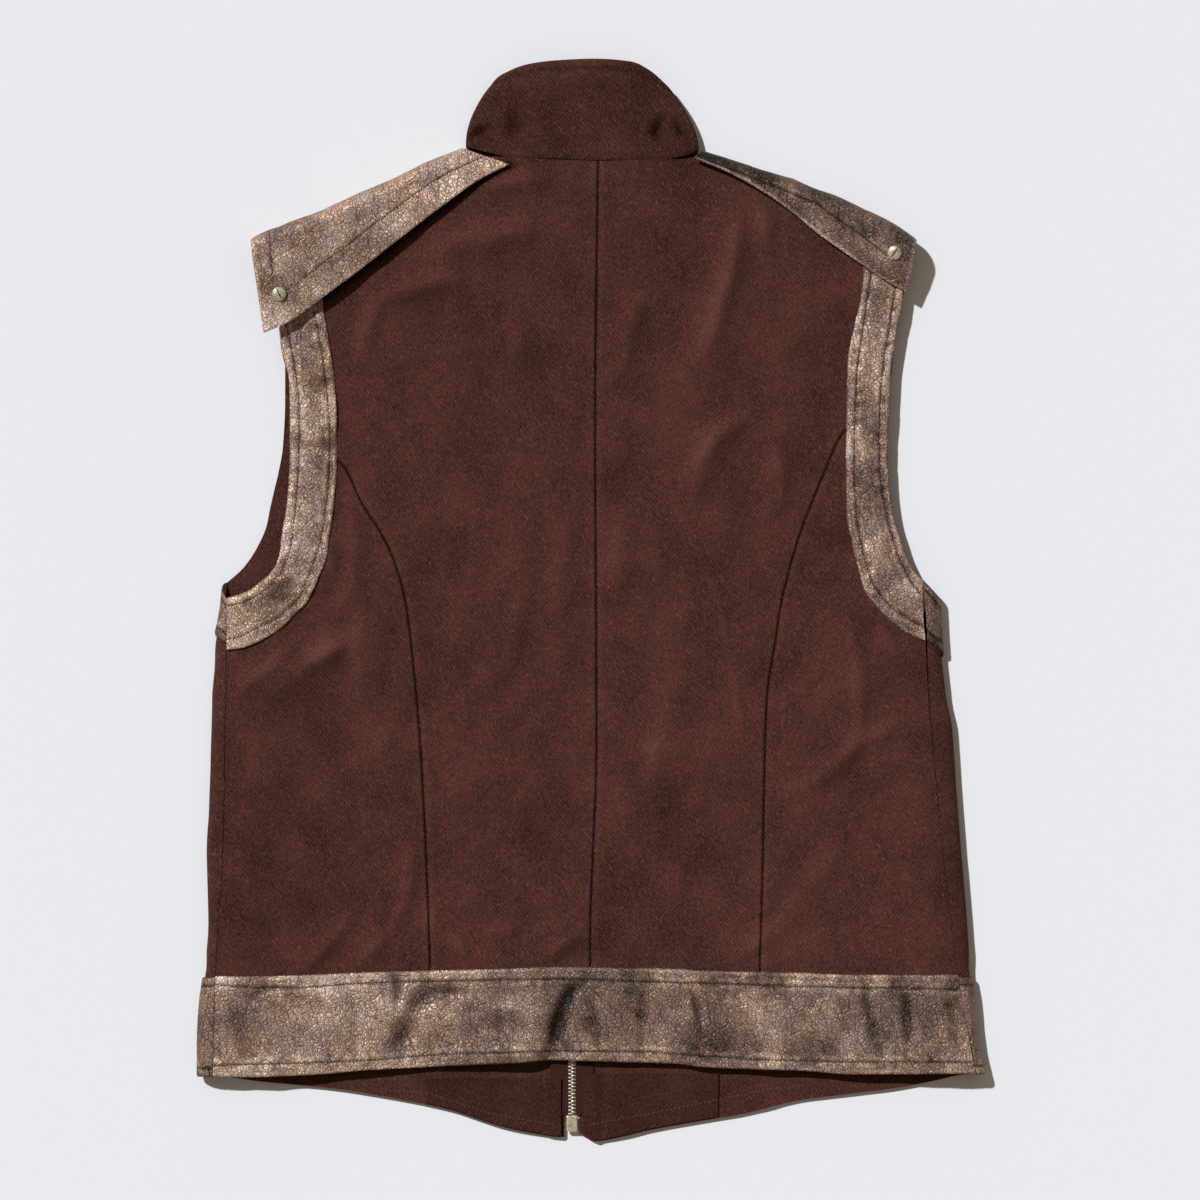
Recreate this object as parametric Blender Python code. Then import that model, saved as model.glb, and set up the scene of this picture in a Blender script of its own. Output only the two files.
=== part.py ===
"""Belted vest, lying flat on its front with the collar up.

Sizes are in millimetres until a mesh is made. X runs to the wearer's right, Y towards the collar and Z up
from the surface that the vest lies on, so the front of the vest is underneath and its back is on top.
Origin: middle of the outline, on that surface.
"""
import math

import bmesh
import bpy
import numpy as np
from mathutils import Vector
from mathutils.bvhtree import BVHTree

MM = 0.001

# Walls and clearances
TWILL = 1.2
LEATHER = 1.4
FLAP = 1.6
COLLAR = 2.0
TAPE = 1.0
FACING = 1.0
SEAM = 0.3
BAND_STEP = LEATHER + SEAM
FLAP_LIFT = FLAP + SEAM + 0.6

# Main sizes of the vest
HEM = -331.5
BAND_TOP = -262.0
FRONT_NECK = 250.0
FRONT_ARMPIT = {"left": 12.0, "right": -8.0}
ARMHOLE_BAND = 34.0
ARC_LENGTH = 22.0

# The zip
ZIP_X = -13.3
FRONT_EDGE = 5.2
CHAIN_HALF = 2.45
CHAIN_THICK = 2.6
TAPE_INNER = 2.8
TAPE_OUTER = 15.0
FACING_EDGE = 7.7
ZIP_BOTTOM = -360.5
BOX_BOTTOM = -372.0
BOX_HALF = 3.9
BOX_THICK = 3.0
COLLAR_TOP = 321.0
SLIDER_TOP = 319.0
SLIDER_BOTTOM = 309.0

SIGN = {"left": -1.0, "right": 1.0}


def table(columns, *rows):
    """A table whose columns are read by name."""
    names = columns.split()
    return {name: np.array([row[i] for row in rows], float) for i, name in enumerate(names)}


# Side folds: the outline, the side seam and the height of the roll between front and back
SIDE = {
    "left": table("y outline seam height",
                  (-331.5, -276.0, -264.5, 15.0), (-305, -276, -264, 13.6), (-277, -274.5, -263.4, 13.0),
                  (-249, -270, -262, 12.2), (-228, -268.2, -261, 12), (-179, -269, -257.6, 12),
                  (-144, -267.5, -256.6, 12), (-95, -266, -256, 12.4), (-35, -265, -255, 13.4),
                  (0, -259.5, -255, 13), (12, -258.5, -254.6, 12)),
    "right": table("y outline seam height",
                   (-331.5, 276.0, 269.0, 16.0), (-305, 271, 264, 14.2), (-277, 269, 259, 13.2),
                   (-249, 265, 255, 12.4), (-207, 262, 249.5, 12), (-165, 258.5, 245, 12),
                   (-123, 255.5, 241, 12), (-95, 253.5, 238.5, 12.2), (-67, 250, 236, 12.6),
                   (-35, 246.5, 234.5, 13), (-8, 245, 232, 13)),
}

# How far the top of the side fold lies along the vest from its foot, at the armpit
ARMPIT_SHIFT = {"left": -11.0, "right": 22.0}

# Armhole edge of the front, on the surface below
FRONT_ARMHOLE = {
    "left": table("y x", (12, -254.6), (22, -243.5), (29, -238), (38.5, -232.5), (47.5, -228), (66.5, -224),
                  (87.5, -219), (112, -215), (140, -214), (171, -214), (215, -213.4), (258, -212.5)),
    "right": table("y x", (-8, 232), (0, 229), (10, 225.5), (20, 222), (35, 215.5), (56, 209), (80, 205.5),
                   (105, 204.5), (133, 205.5), (157, 206.5), (182, 210), (215, 213), (258, 211.5)),
}

# Inner edge of the front armhole band, one row for each row of the edge that it follows
FRONT_BAND = {
    "left": table("outer_x outer_y inner_x inner_y",
                  (-254.6, 12, -254.6, -23), (-249, 16.5, -246, -23), (-243.5, 22, -234.5, -19),
                  (-238, 29, -223, -11), (-232.5, 38.5, -212, 3), (-228, 47.5, -202, 22),
                  (-224, 66.5, -193, 48),
                  (-219, 87.5, -186, 76), (-215, 112, -181.5, 106), (-214, 140, -180, 137),
                  (-214, 171, -180, 172),
                  (-213.4, 205, -180, 211), (-212.9, 232, -183, 243), (-212.5, 254, -190, 263)),
    "right": table("outer_x outer_y inner_x inner_y",
                   (232, -8, 232, -43), (229, 0, 224, -41), (225.5, 10, 212, -30), (222, 20, 202, -12),
                   (215.5, 35, 190, 8), (209, 56, 178, 38), (205.5, 80, 172, 72), (204.5, 105, 170.5, 104),
                   (205.5, 133, 171.5, 135), (206.5, 157, 173, 162), (210, 182, 177, 190),
                   (213, 215, 181, 223), (212.2, 238, 184, 248), (211.5, 254, 191, 264)),
}

# Armhole bands of the back: their outer and inner edges, from the side seam to the shoulder
BACK_BAND = {
    "left": table("outer_x outer_y inner_x inner_y",
                  (-254.8, 1, -254.8, -35), (-245.5, 4, -245.5, -34), (-238.5, 7, -235, -30.5),
                  (-231.5, 12.5, -226, -26), (-226, 17, -217.5, -21), (-220.5, 24, -206.5, -10.5),
                  (-217.5, 33, -197.5, 0), (-216.5, 42, -191, 14), (-215, 52, -185.5, 28),
                  (-213, 63, -182.5, 45),
                  (-211.5, 80, -179.5, 70), (-210.5, 105, -177.3, 104), (-210.5, 133, -178, 140),
                  (-211, 154, -179.5, 157), (-214, 166, -181.5, 171), (-217, 180, -184, 186),
                  (-217, 205, -187.5, 210), (-215.5, 235, -189, 243), (-213, 254, -192, 263)),
    "right": table("outer_x outer_y inner_x inner_y",
                   (231.8, 13.6, 234.5, -29), (226, 19.5, 222, -24), (222, 27, 208, -14),
                   (218.5, 35, 199, -4.5),
                   (215, 45.5, 191, 6), (212, 56, 187, 20), (210, 67, 182.5, 38.5), (208.5, 80.5, 178.5, 62),
                   (207.5, 105, 178, 98), (208.5, 133, 178.5, 133), (209.5, 157.5, 179, 161),
                   (213, 182, 182.5, 185.5), (217, 203, 188.5, 210), (218, 215, 190, 226),
                   (216, 238, 190, 248), (213, 254, 192, 264)),
}

# Seams of the back
CENTRE_SEAM = table("y x",
                    (-331.5, -0.5), (-238, -0.5), (-175, 1.5), (-98, 4), (112, 3), (147.5, 3), (228, 4),
                    (306.5, 5))
PRINCESS = {
    "left": table("y x", (-331.5, -111.5), (-260.5, -112.5), (-210, -114), (-161, -116), (-98, -119.5),
                  (-42, -124.5), (0, -130), (28, -138), (46, -146.5), (68, -160.5), (92, -172), (103, -183),
                  (111.5, -209)),
    "right": table("y x", (-331.5, 117), (-259, 118), (-210, 119.5), (-70, 123), (-32.5, 128.5), (0, 133.5),
                   (16, 137.5), (36, 143), (50, 147.5), (70, 155.5), (92, 164.5), (120, 179), (130.5, 207)),
}
PRINCESS_TOP = {"left": 111.2, "right": 130.2}

# Hems of the back and the front
BACK_HEM = table("x y", (-276, -332.5), (-245.5, -333.5), (-189.5, -331.5), (-161.5, -329), (-112.5, -326.5),
                 (-56.5, -324), (-21.5, -322), (20.5, -323), (62.5, -324.5), (76.5, -326.5), (111.5, -328),
                 (146.5, -329), (181.5, -331.5), (276, -330.8))
FRONT_HEM = table("x y", (-276, -332.5), (-254, -334), (-231.5, -337), (-203.5, -339.5), (-175.5, -342.5),
                  (-133.5, -349.5), (-98.5, -357), (-77.5, -364), (-63.5, -368.5), (-42.5, -373), (-20, -376),
                  (-6, -373), (2, -379), (20.5, -376), (41.5, -371), (83.5, -363.5), (104.5, -360),
                  (146.5, -350), (181.5, -345.5), (216.5, -341), (240, -336.5), (260, -332.2), (276, -331))

# Shoulder line, run on past the neck, and the height of the leather that folds over it
SHOULDER = {
    "left": table("x y height", (-238, 253, 22), (-217.5, 261.5, 21), (-186, 273.5, 19), (-161.5, 284.5, 17),
                  (-133.5, 296.5, 15), (-112.5, 307, 14), (-98.5, 312.5, 13.4), (-87.5, 317.5, 13),
                  (-50, 365, 13)),
    "right": table("x y height", (40, 362, 13), (77.5, 315, 13), (90.5, 310, 13.2), (118.5, 301, 14),
                   (146.5, 292, 15.5), (174.5, 281, 18), (202.5, 268, 20.5), (214, 261.5, 21.5),
                   (228.5, 252, 22)),
}
NECK_POINT = {"left": (-88.5, 311.0), "right": (76.0, 309.5)}

# Shoulder flaps from the neck to the cap: fold edge, free edge of the back leaf, height of that edge
FLAPS = {
    "left": table("fold_x fold_y free_x free_y height edge_height",
                  (-89.5, 315.5, -57, 304, 13, 14.6), (-112.5, 307, -77.5, 293.5, 14, 15),
                  (-133.5, 296.5, -105.5, 273.5, 15.4, 15.4), (-161.5, 284.5, -133.5, 252, 17.2, 15.8),
                  (-186, 273.5, -161.5, 230, 19, 16.2), (-205, 266.5, -185, 212.5, 20.4, 16.8),
                  (-217.5, 261.5, -200.5, 201, 21.2, 17.2), (-229, 257, -213.5, 192.5, 21.8, 17.4),
                  (-238, 252, -228.5, 186, 22, 17.4)),
    "right": table("fold_x fold_y free_x free_y height edge_height",
                   (79.5, 314, 71.5, 309, 13.4, 15), (104.5, 305.5, 97, 298, 14, 15.2),
                   (132.5, 296.5, 123, 283, 15.4, 15.4), (153, 289.5, 142, 269, 17, 15.4),
                   (174.5, 281, 160.5, 254, 18.4, 15.4), (193, 272.5, 181, 239.5, 20, 15.4),
                   (205.5, 266.5, 195, 229.5, 21, 15.4), (217, 260, 207, 221.5, 21.6, 15.6),
                   (228, 252, 220.5, 214.5, 22, 16)),
}
FLAP_FRONT_LEAF = 46.0
STUD_AT = {"left": (-217.5, 213.3), "right": (211.8, 242.0)}
STUD_SLOT = {"left": -64.0, "right": 54.0}

# Height of the upper face of the back twill along the middle, and at the armholes
MIDDLE = table("y height", (-331.5, 8.2), (-262, 7.2), (-240, 6.5), (-205, 5.2), (0, 5.2), (150, 5.6),
               (215, 7.6), (262, 10.2), (290, 12), (317, 12.8))
ARMHOLE_HEIGHT = table("y height", (0, 11.3), (14, 10.4), (40, 9.4), (180, 9.4), (225, 10), (262, 10.8))
SIDE_REACH = table("y reach", (-331.5, 150), (-240, 85), (0, 70), (60, 55), (262, 55))

# Largest soft ridges of the back: both ends, half width and height
RIDGES = table("x1 y1 x2 y2 half height",
               (-104, 246, -40, 258, 13, 2.6), (-152, 216, -100, 226, 12, 2.4), (98, 274, 84, 160, 14, 3.4),
               (30, 208, 10, 155, 11, 1.8), (96, 128, 70, 72, 13, 2.4), (126, 118, 130, 64, 11, 2.0),
               (-174, -30, -226, -66, 13, 3.2), (-150, 24, -150, -50, 11, 2.2), (176, -18, 180, -92, 13, 2.6),
               (180, -98, 146, -136, 14, 2.4), (-134, -184, -156, -250, 11, 2.6),
               (-178, -224, -200, -256, 10, 2.0), (-50, -252, -12, -230, 11, 2.4),
               (134, -178, 98, -256, 16, 2.2), (54, -60, 52, -100, 16, 1.8), (-44, 50, -60, -30, 12, 1.6))

# Collar from the zip round the neck and back to the zip: lower and upper edge of its middle surface, and how
# far its folds bulge sideways halfway up
COLLAR_SECTIONS = table("low_x low_y low_z top_x top_y top_z bulge",
                        (-18.6, 251.4, 1.2, -18.6, 321, 5.3, 0), (-51.2, 257.6, 1.2, -40, 326, 3.6, 0),
                        (-73.2, 274, 1.6, -54, 338, 1.9, -1), (-83.8, 295.2, 3.2, -62, 353, 2.2, -4),
                        (-86.6, 319, 7.4, -65, 363.5, 7, -5), (-76.5, 315.6, 10.6, -57, 369.5, 11.2, -4),
                        (-53, 310, 11.9, -42.5, 374.5, 12.2, -1), (-28.5, 308.9, 12.2, -22, 377, 12.3, 0),
                        (5, 307.6, 12.3, 3, 378, 12.4, 0), (35, 308.5, 12.2, 28, 376, 12.2, 0),
                        (52, 309.8, 11.8, 38.5, 371.5, 12, 0.5), (65, 312.6, 10.6, 49, 363, 11, 2.5),
                        (74.4, 317, 7.4, 53, 357, 7, 4), (71, 294.2, 3.2, 47, 345, 2.2, 3),
                        (58.4, 273.6, 1.6, 35, 334, 1.9, 1), (31.8, 257.6, 1.2, 14, 326, 3.6, 0),
                        (-8, 251.4, 1.2, -8, 321, 5.3, 0))


def step(low, high, value):
    """Smooth rise from 0 at low to 1 at high."""
    share = np.clip((np.asarray(value, float) - low) / (high - low), 0.0, 1.0)
    return share * share * (3.0 - 2.0 * share)


def mix(one, other, share):
    """Blend from one value to the other."""
    return one + (other - one) * share


def read(values, known, column, at):
    """Smooth value of a column of a table, where its known column has the given values."""
    xs, ys = values[known], values[column]
    at = np.clip(np.asarray(at, float), xs[0], xs[-1])
    rise = np.diff(ys) / np.diff(xs)
    slope = np.concatenate(([rise[0]], np.zeros(len(xs) - 2), [rise[-1]]))
    product = rise[:-1] * rise[1:]
    total = np.where(product > 0, rise[:-1] + rise[1:], 1.0)
    slope[1:-1] = np.where(product > 0, 2.0 * product / total, 0.0)
    i = np.clip(np.searchsorted(xs, at) - 1, 0, len(xs) - 2)
    width = xs[i + 1] - xs[i]
    t = (at - xs[i]) / width
    return ((1 + 2 * t) * (1 - t) ** 2 * ys[i] + t * (1 - t) ** 2 * width * slope[i]
            + t * t * (3 - 2 * t) * ys[i + 1] + t * t * (t - 1) * width * slope[i + 1])


def resample(values, counts):
    """Rows of a table and smooth rows between them, a few for each interval, in one array."""
    names = list(values)
    rows = np.stack([values[name] for name in names], axis=1)
    places = np.arange(len(rows), dtype=float)
    numbered = {name: values[name] for name in names}
    numbered["row"] = places
    at = np.linspace(0, len(rows) - 1, (len(rows) - 1) * counts + 1)
    return {name: read(numbered, "row", name, at) for name in names}


def nearest(points, x, y):
    """Distance from places x, y to a line through points."""
    best = np.full(np.broadcast(x, y).shape, 1e9)
    for (x1, y1), (x2, y2) in zip(points[:-1], points[1:]):
        dx, dy = x2 - x1, y2 - y1
        share = np.clip(((x - x1) * dx + (y - y1) * dy) / (dx * dx + dy * dy), 0, 1)
        best = np.minimum(best, np.hypot(x - x1 - share * dx, y - y1 - share * dy))
    return best


def plain_material(name, colour, roughness, metallic):
    """A Principled material."""
    material = bpy.data.materials.new(name)
    material.use_nodes = True
    shader = material.node_tree.nodes["Principled BSDF"]
    shader.inputs["Base Color"].default_value = (*colour, 1.0)
    shader.inputs["Roughness"].default_value = roughness
    shader.inputs["Metallic"].default_value = metallic
    return material


LOOKS = {
    "twill": ((0.045, 0.020, 0.015), 0.85, 0.0),
    "leather": ((0.16, 0.11, 0.08), 0.45, 0.35),
    "tape": ((0.035, 0.018, 0.013), 0.9, 0.0),
    "brass": ((0.55, 0.46, 0.30), 0.35, 1.0),
}


def finish(name, bm, look):
    """Make an object of a bmesh in millimetres, with faces pointing out and a material of its own."""
    bmesh.ops.recalc_face_normals(bm, faces=bm.faces)
    bmesh.ops.scale(bm, vec=(MM, MM, MM), verts=bm.verts)
    mesh = bpy.data.meshes.new(name)
    bm.to_mesh(mesh)
    bm.free()
    mesh.shade_smooth()
    mesh.set_sharp_from_angle(angle=math.radians(45))
    mesh.materials.append(plain_material(name, *LOOKS[look]))
    made = bpy.data.objects.new(name, mesh)
    bpy.context.scene.collection.objects.link(made)
    return made


def cloth(name, outer, inner, look, present=None):
    """Closed wall between two grids of points. Cells that are not present are left out."""
    rows, columns = outer.shape[:2]
    if present is None:
        present = np.ones((rows - 1, columns - 1), bool)
    bm = bmesh.new()
    corners = {}

    def corner(side, row, column):
        key = (side, row, column)
        if key not in corners:
            grid = outer if side else inner
            corners[key] = bm.verts.new(grid[row, column])
        return corners[key]

    borders = set()
    for row in range(rows - 1):
        for column in range(columns - 1):
            if not present[row, column]:
                continue
            loop = [(row, column), (row, column + 1), (row + 1, column + 1), (row + 1, column)]
            for side in (1, 0):
                a, b, c, d = [corner(side, *place) for place in loop]
                bm.faces.new((a, b, c))
                bm.faces.new((a, c, d))
            for start, end in zip(loop, loop[1:] + loop[:1]):
                if (end, start) in borders:
                    borders.discard((end, start))
                else:
                    borders.add((start, end))
    for start, end in sorted(borders):
        bm.faces.new((corner(1, *start), corner(1, *end), corner(0, *end)))
        bm.faces.new((corner(1, *start), corner(0, *end), corner(0, *start)))
    return finish(name, bm, look)


def thicken(outer, thickness, towards, column):
    """Inner grid of a wall: the outer one moved along its own normals, to the side that towards points to in
    the given column."""
    along_rows = np.gradient(outer, axis=0)
    along_columns = np.gradient(outer, axis=1)
    normal = np.cross(along_rows, along_columns)
    normal /= np.linalg.norm(normal, axis=2, keepdims=True)
    if np.dot(normal[outer.shape[0] // 2, column], towards) < 0:
        normal = -normal
    return outer + normal * thickness


def grid_of(x, y, z):
    """One array of points from three arrays of places."""
    x, y, z = np.broadcast_arrays(x, y, z)
    return np.stack([x, y, z], axis=-1)


# The front, as one surface on each side of the zip

def front_hem_shift(x, y):
    """How far the front's rows are moved along the vest, so that the lowest follows its hem."""
    return (read(FRONT_HEM, "x", "y", x) - HEM) * (1 - step(BAND_TOP, -60, y))


def armhole_line(side):
    """Edge of the front armhole in flat places, run on round the side fold."""
    edge = FRONT_ARMHOLE[side]
    first = (edge["x"][0] + SIGN[side] * 60, edge["y"][0])
    return [first] + list(zip(edge["x"], edge["y"]))


def under_flap(side, x, y):
    """1 where the front leaf of the shoulder flap lies under the front, falling to 0 beyond it."""
    line = read(SHOULDER[side], "x", "y", x)
    return 1 - step(FLAP_FRONT_LEAF + 16, FLAP_FRONT_LEAF + 44, (line - y) * 0.92)


def front_inset(side, x, y):
    """Distance from the outermost surface to the twill: the bands and flaps that lie on it."""
    hem = 1 - step(BAND_TOP + 2, BAND_TOP + 20, y)
    armhole = 1 - step(ARMHOLE_BAND + 24, ARMHOLE_BAND + 46, nearest(armhole_line(side), x, y))
    return BAND_STEP * np.maximum(hem, armhole) + FLAP_LIFT * under_flap(side, x, y)


def shoulder_rise(side, x, y):
    """1 at the shoulder seam, falling to 0 inside the body."""
    line = read(SHOULDER[side], "x", "y", x)
    return 1 - step(5, 38, (line - y) * 0.92)


def front_point(side, across, y, inset):
    """Points of the front. across is the distance from the zip along the cloth, inset is measured inwards
    from the outermost surface."""
    sign = SIGN[side]
    across, y, inset = np.broadcast_arrays(np.asarray(across, float), np.asarray(y, float), inset)
    fold = SIDE[side]
    seam = read(fold, "y", "seam", y)
    outline = read(fold, "y", "outline", y)
    height = read(fold, "y", "height", y)
    to_fold = np.abs(seam - ZIP_X)
    turn = np.clip((across - to_fold) / ARC_LENGTH, 0, 1)
    angle = math.pi * turn - math.pi / 2
    round_fold = across > to_fold
    flat_x = ZIP_X + sign * across
    width = np.abs(outline - seam)
    fold_x = seam + sign * (width - inset) * np.cos(angle)
    fold_z = height / 2 + (height / 2 - inset) * np.sin(angle)
    x = np.where(round_fold, fold_x, flat_x)
    shift = ARMPIT_SHIFT[side] * turn ** 2 * step(-90, FRONT_ARMPIT[side], y)
    placed_y = y + shift + front_hem_shift(np.where(round_fold, seam, flat_x), y)
    wedge = shoulder_rise(side, x, y)
    middle = read(SHOULDER[side], "x", "height", x) / 2 - SEAM / 2 - TWILL
    flat_z = mix(inset, np.maximum(middle, inset), wedge)
    z = np.where(round_fold, fold_z, flat_z)
    return grid_of(x, placed_y, z)


LOWER_ROWS = [-331.5, -313, -295, -278, BAND_TOP, -246, -224, -196, -166, -134, -104, -78, -58]
ARMPIT_DROPS = ARMHOLE_BAND * np.array([1.0, 2 / 3, 1 / 3, 0.0])
ARMPIT_SPACE = 46.0
FLAT_SHARES = np.array([0.0, 0.14, 0.3, 0.46, 0.62, 0.75, 0.86, 0.94, 1.0])
ARC_SHARES = np.array([0.17, 0.34, 0.5, 0.66, 0.83, 1.0])

# Rows of the front above the armpit. The ARMHOLE_ROWS run level and end on the armhole edge. The UPPER_ROWS
# start lower at the zip, and the SHOULDER_ROWS end on the shoulder and bend round the neck.
ARMHOLE_ROWS = (10, 22, 36, 52, 75, 105, 140, 171)
ARMHOLE_CLEAR = 7.0
UPPER_ROWS = table("end_y start_y bend", (205, 184, 0), (232, 198, 0.1), (256, 209, 0.2))
SHOULDER_ROWS = table("share start_y bend",
                      (0.2, 217, 0.3), (0.42, 226, 0.45), (0.64, 234, 0.62), (0.84, 242, 0.82))
SHOULDER_IN = 4.5


def bent_line(start, bend, end, shares):
    """Quadratic curve from start to end, drawn towards bend."""
    shares = np.asarray(shares)[:, None]
    start, bend, end = (np.asarray(place, float) for place in (start, bend, end))
    return start * (1 - shares) ** 2 + bend * 2 * shares * (1 - shares) + end * shares ** 2


def make_front(side):
    """Front panel: flat rows with the roll at the side, then rows that end at the armhole and shoulder."""
    sign = SIGN[side]
    armpit = FRONT_ARMPIT[side]
    rows = [y for y in LOWER_ROWS if y < armpit - ARMPIT_SPACE] + [armpit - drop for drop in ARMPIT_DROPS]
    outer, inner = [], []
    for y in rows:
        seam = float(read(SIDE[side], "y", "seam", y))
        to_fold = abs(seam - ZIP_X)
        across = np.concatenate([FRONT_EDGE + (to_fold - FRONT_EDGE) * FLAT_SHARES,
                                 to_fold + ARC_LENGTH * ARC_SHARES])
        inset = front_inset(side, ZIP_X + sign * across, np.full(len(across), y))
        outer.append(front_point(side, across, y, inset))
        inner.append(front_point(side, across, y, inset + TWILL))
    edge = FRONT_ARMHOLE[side]
    ends = [(float(read(edge, "y", "x", y)), y, y, 0.0) for y in ARMHOLE_ROWS if y > armpit + ARMHOLE_CLEAR]
    for end_y, start_y, bend in zip(UPPER_ROWS["end_y"], UPPER_ROWS["start_y"], UPPER_ROWS["bend"]):
        ends.append((float(read(edge, "y", "x", end_y)), end_y, start_y, bend))
    shoulder_end = float(read(edge, "y", "x", UPPER_ROWS["end_y"][-1]))
    for share, start_y, bend in zip(SHOULDER_ROWS["share"], SHOULDER_ROWS["start_y"], SHOULDER_ROWS["bend"]):
        x = mix(shoulder_end, NECK_POINT[side][0], share)
        y = float(read(SHOULDER[side], "x", "y", x)) - SHOULDER_IN
        ends.append((x, y, start_y, bend))
    ends.append((*NECK_POINT[side], FRONT_NECK, 1.0))
    neck_bend = np.array([NECK_POINT[side][0] - sign * 6.0, FRONT_NECK + 1.0])
    neck_middle = (np.array(NECK_POINT[side]) + np.array([ZIP_X + sign * FRONT_EDGE, FRONT_NECK])) / 2
    for x, y, start_y, bend in ends:
        start = np.array([ZIP_X + sign * FRONT_EDGE, start_y])
        end = np.array([x, y])
        control = (start + end) / 2 + (neck_bend - neck_middle) * bend
        line = bent_line(start, control, end, FLAT_SHARES)
        inset = front_inset(side, line[:, 0], line[:, 1])
        across = np.abs(line[:, 0] - ZIP_X)
        row_outer = front_point(side, across, line[:, 1], inset)
        row_inner = front_point(side, across, line[:, 1], inset + TWILL)
        row_inner[:, 2] = row_outer[:, 2] + TWILL
        spare = np.repeat(row_outer[-1:], len(ARC_SHARES), axis=0)
        outer.append(np.concatenate([row_outer, spare]))
        inner.append(np.concatenate([row_inner, spare]))
    outer, inner = np.array(outer), np.array(inner)
    present = np.ones((len(outer) - 1, outer.shape[1] - 1), bool)
    present[len(rows) - 1:, len(FLAT_SHARES) - 1:] = False
    return cloth("front_" + side, outer, inner, "twill", present)


def make_front_hem_band(side):
    """Leather band round the front hem, made from the rows of the front and moved out."""
    sign = SIGN[side]
    rows = [y for y in LOWER_ROWS if y <= BAND_TOP]
    outer, inner = [], []
    for y in rows:
        seam = float(read(SIDE[side], "y", "seam", y))
        to_fold = abs(seam - ZIP_X)
        across = np.concatenate([FRONT_EDGE + (to_fold - FRONT_EDGE) * FLAT_SHARES,
                                 to_fold + ARC_LENGTH * ARC_SHARES])
        outer.append(front_point(side, across, y, 0.0))
        inner.append(front_point(side, across, y, LEATHER))
    return cloth("hem_band_front_" + side, np.array(outer), np.array(inner), "leather")


NEAR_PLACES = ((0, 0), (5, 0), (-5, 0), (0, 5), (0, -5))


BAND_COLUMNS = 4
FLAP_ROOM = 0.35
FLAP_ROOM_START = 200
FLAP_ROOM_END = 222


def make_front_armhole_band(side, tree):
    """Leather band along the front armhole, from the side seam round the fold and up to the shoulder. It lies
    under the front panel that the tree holds."""
    armpit = FRONT_ARMPIT[side]
    outer, inner = [], []
    shares = np.linspace(0, 1, BAND_COLUMNS)
    drops = -ARMPIT_DROPS[::-1]
    for share in ARC_SHARES[::-1]:
        ys = armpit + drops
        folds = np.abs(read(SIDE[side], "y", "seam", ys) - ZIP_X)
        outer.append(front_point(side, folds + ARC_LENGTH * share, ys, 0.0))
        inner.append(front_point(side, folds + ARC_LENGTH * share, ys, LEATHER))
    band = resample(FRONT_BAND[side], 2)
    for x1, y1, x2, y2 in zip(band["outer_x"], band["outer_y"], band["inner_x"], band["inner_y"]):
        xs, ys = mix(x1, x2, shares), mix(y1, y2, shares)
        row = []
        for x, y in zip(xs, ys):
            hits = [tree.ray_cast(Vector(((x + dx) * MM, (y + dy) * MM, -0.1)), Vector((0, 0, 1)))[0]
                    for dx, dy in NEAR_PLACES]
            under_flap = step(FLAP_ROOM_START, FLAP_ROOM_END, y)
            spare = FLAP_ROOM * float(np.maximum(shoulder_rise(side, x, y), under_flap))
            lowest = min(hit.z / MM for hit in hits if hit is not None)
            row.append((x, y, max(0.0, lowest - BAND_STEP - spare)))
        row = np.array(row)
        outer.append(row)
        inner.append(row + (0, 0, LEATHER))
    return cloth("armhole_band_front_" + side, np.array(outer), np.array(inner), "leather")


# The back, as one height over the surface

def back_edge(side, y):
    """Where the back ends at the side: its side seam, or its armhole edge above that."""
    band = BACK_BAND[side]
    seam = read(SIDE[side], "y", "seam", y)
    order = {"y": band["outer_y"], "x": band["outer_x"]}
    armhole = read(order, "y", "x", y)
    return np.where(np.asarray(y) > band["outer_y"][0], armhole, seam)


def edge_height(side, y):
    """Height of the back twill where it ends at the side."""
    top = read(SIDE[side], "y", "height", y)
    seam = read(SIDE[side], "y", "seam", y) + SIGN[side] * ARC_LENGTH
    below = top - front_inset(side, seam, np.minimum(y, FRONT_ARMPIT[side]))
    return mix(below, read(ARMHOLE_HEIGHT, "y", "height", y), step(-6, 14, y))


def back_top(x, y):
    """Height of the upper face of the back twill."""
    x, y = np.broadcast_arrays(np.asarray(x, float), np.asarray(y, float))
    height = read(MIDDLE, "y", "height", y)
    calm = np.ones(x.shape)
    reach = read(SIDE_REACH, "y", "reach", y)
    raised = height
    for side, sign in SIGN.items():
        inside = (back_edge(side, y) - x) * sign
        share = 1 - step(0, 1, inside / reach)
        raised = raised + (edge_height(side, y) - height) * share
        calm = calm * step(mix(3.0, 34.0, step(-50, -20, y)), mix(24.0, 56.0, step(-50, -20, y)), inside)
    for x1, y1, x2, y2, half, rise in zip(*(RIDGES[name] for name in "x1 y1 x2 y2 half height".split())):
        length = math.hypot(x2 - x1, y2 - y1)
        along = ((x - x1) * (x2 - x1) + (y - y1) * (y2 - y1)) / length
        off = ((y - y1) * (x2 - x1) - (x - x1) * (y2 - y1)) / length
        ends = step(-half, half * 0.8, along) * (1 - step(length - half * 0.8, length + half, along))
        raised = raised + rise * calm * ends * np.exp(-(off / half) ** 2)
    for side in SIGN:
        line = SHOULDER[side]
        distance = (read(line, "x", "y", x) - y) * 0.92
        beyond = (x - line["x"][-1 if side == "left" else 0]) * SIGN[side] < 0
        share = np.where(beyond, 0.0, 1 - step(5, 36, distance))
        seam = read(line, "x", "height", x) / 2 + SEAM / 2 + TWILL
        raised = mix(raised, seam, share)
    return raised


def back_hem_shift(x, y):
    """How far the back's rows are moved along the vest, so that the lowest follows its hem."""
    return (read(BACK_HEM, "x", "y", x) - HEM) * (1 - step(HEM, -180, y))


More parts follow.
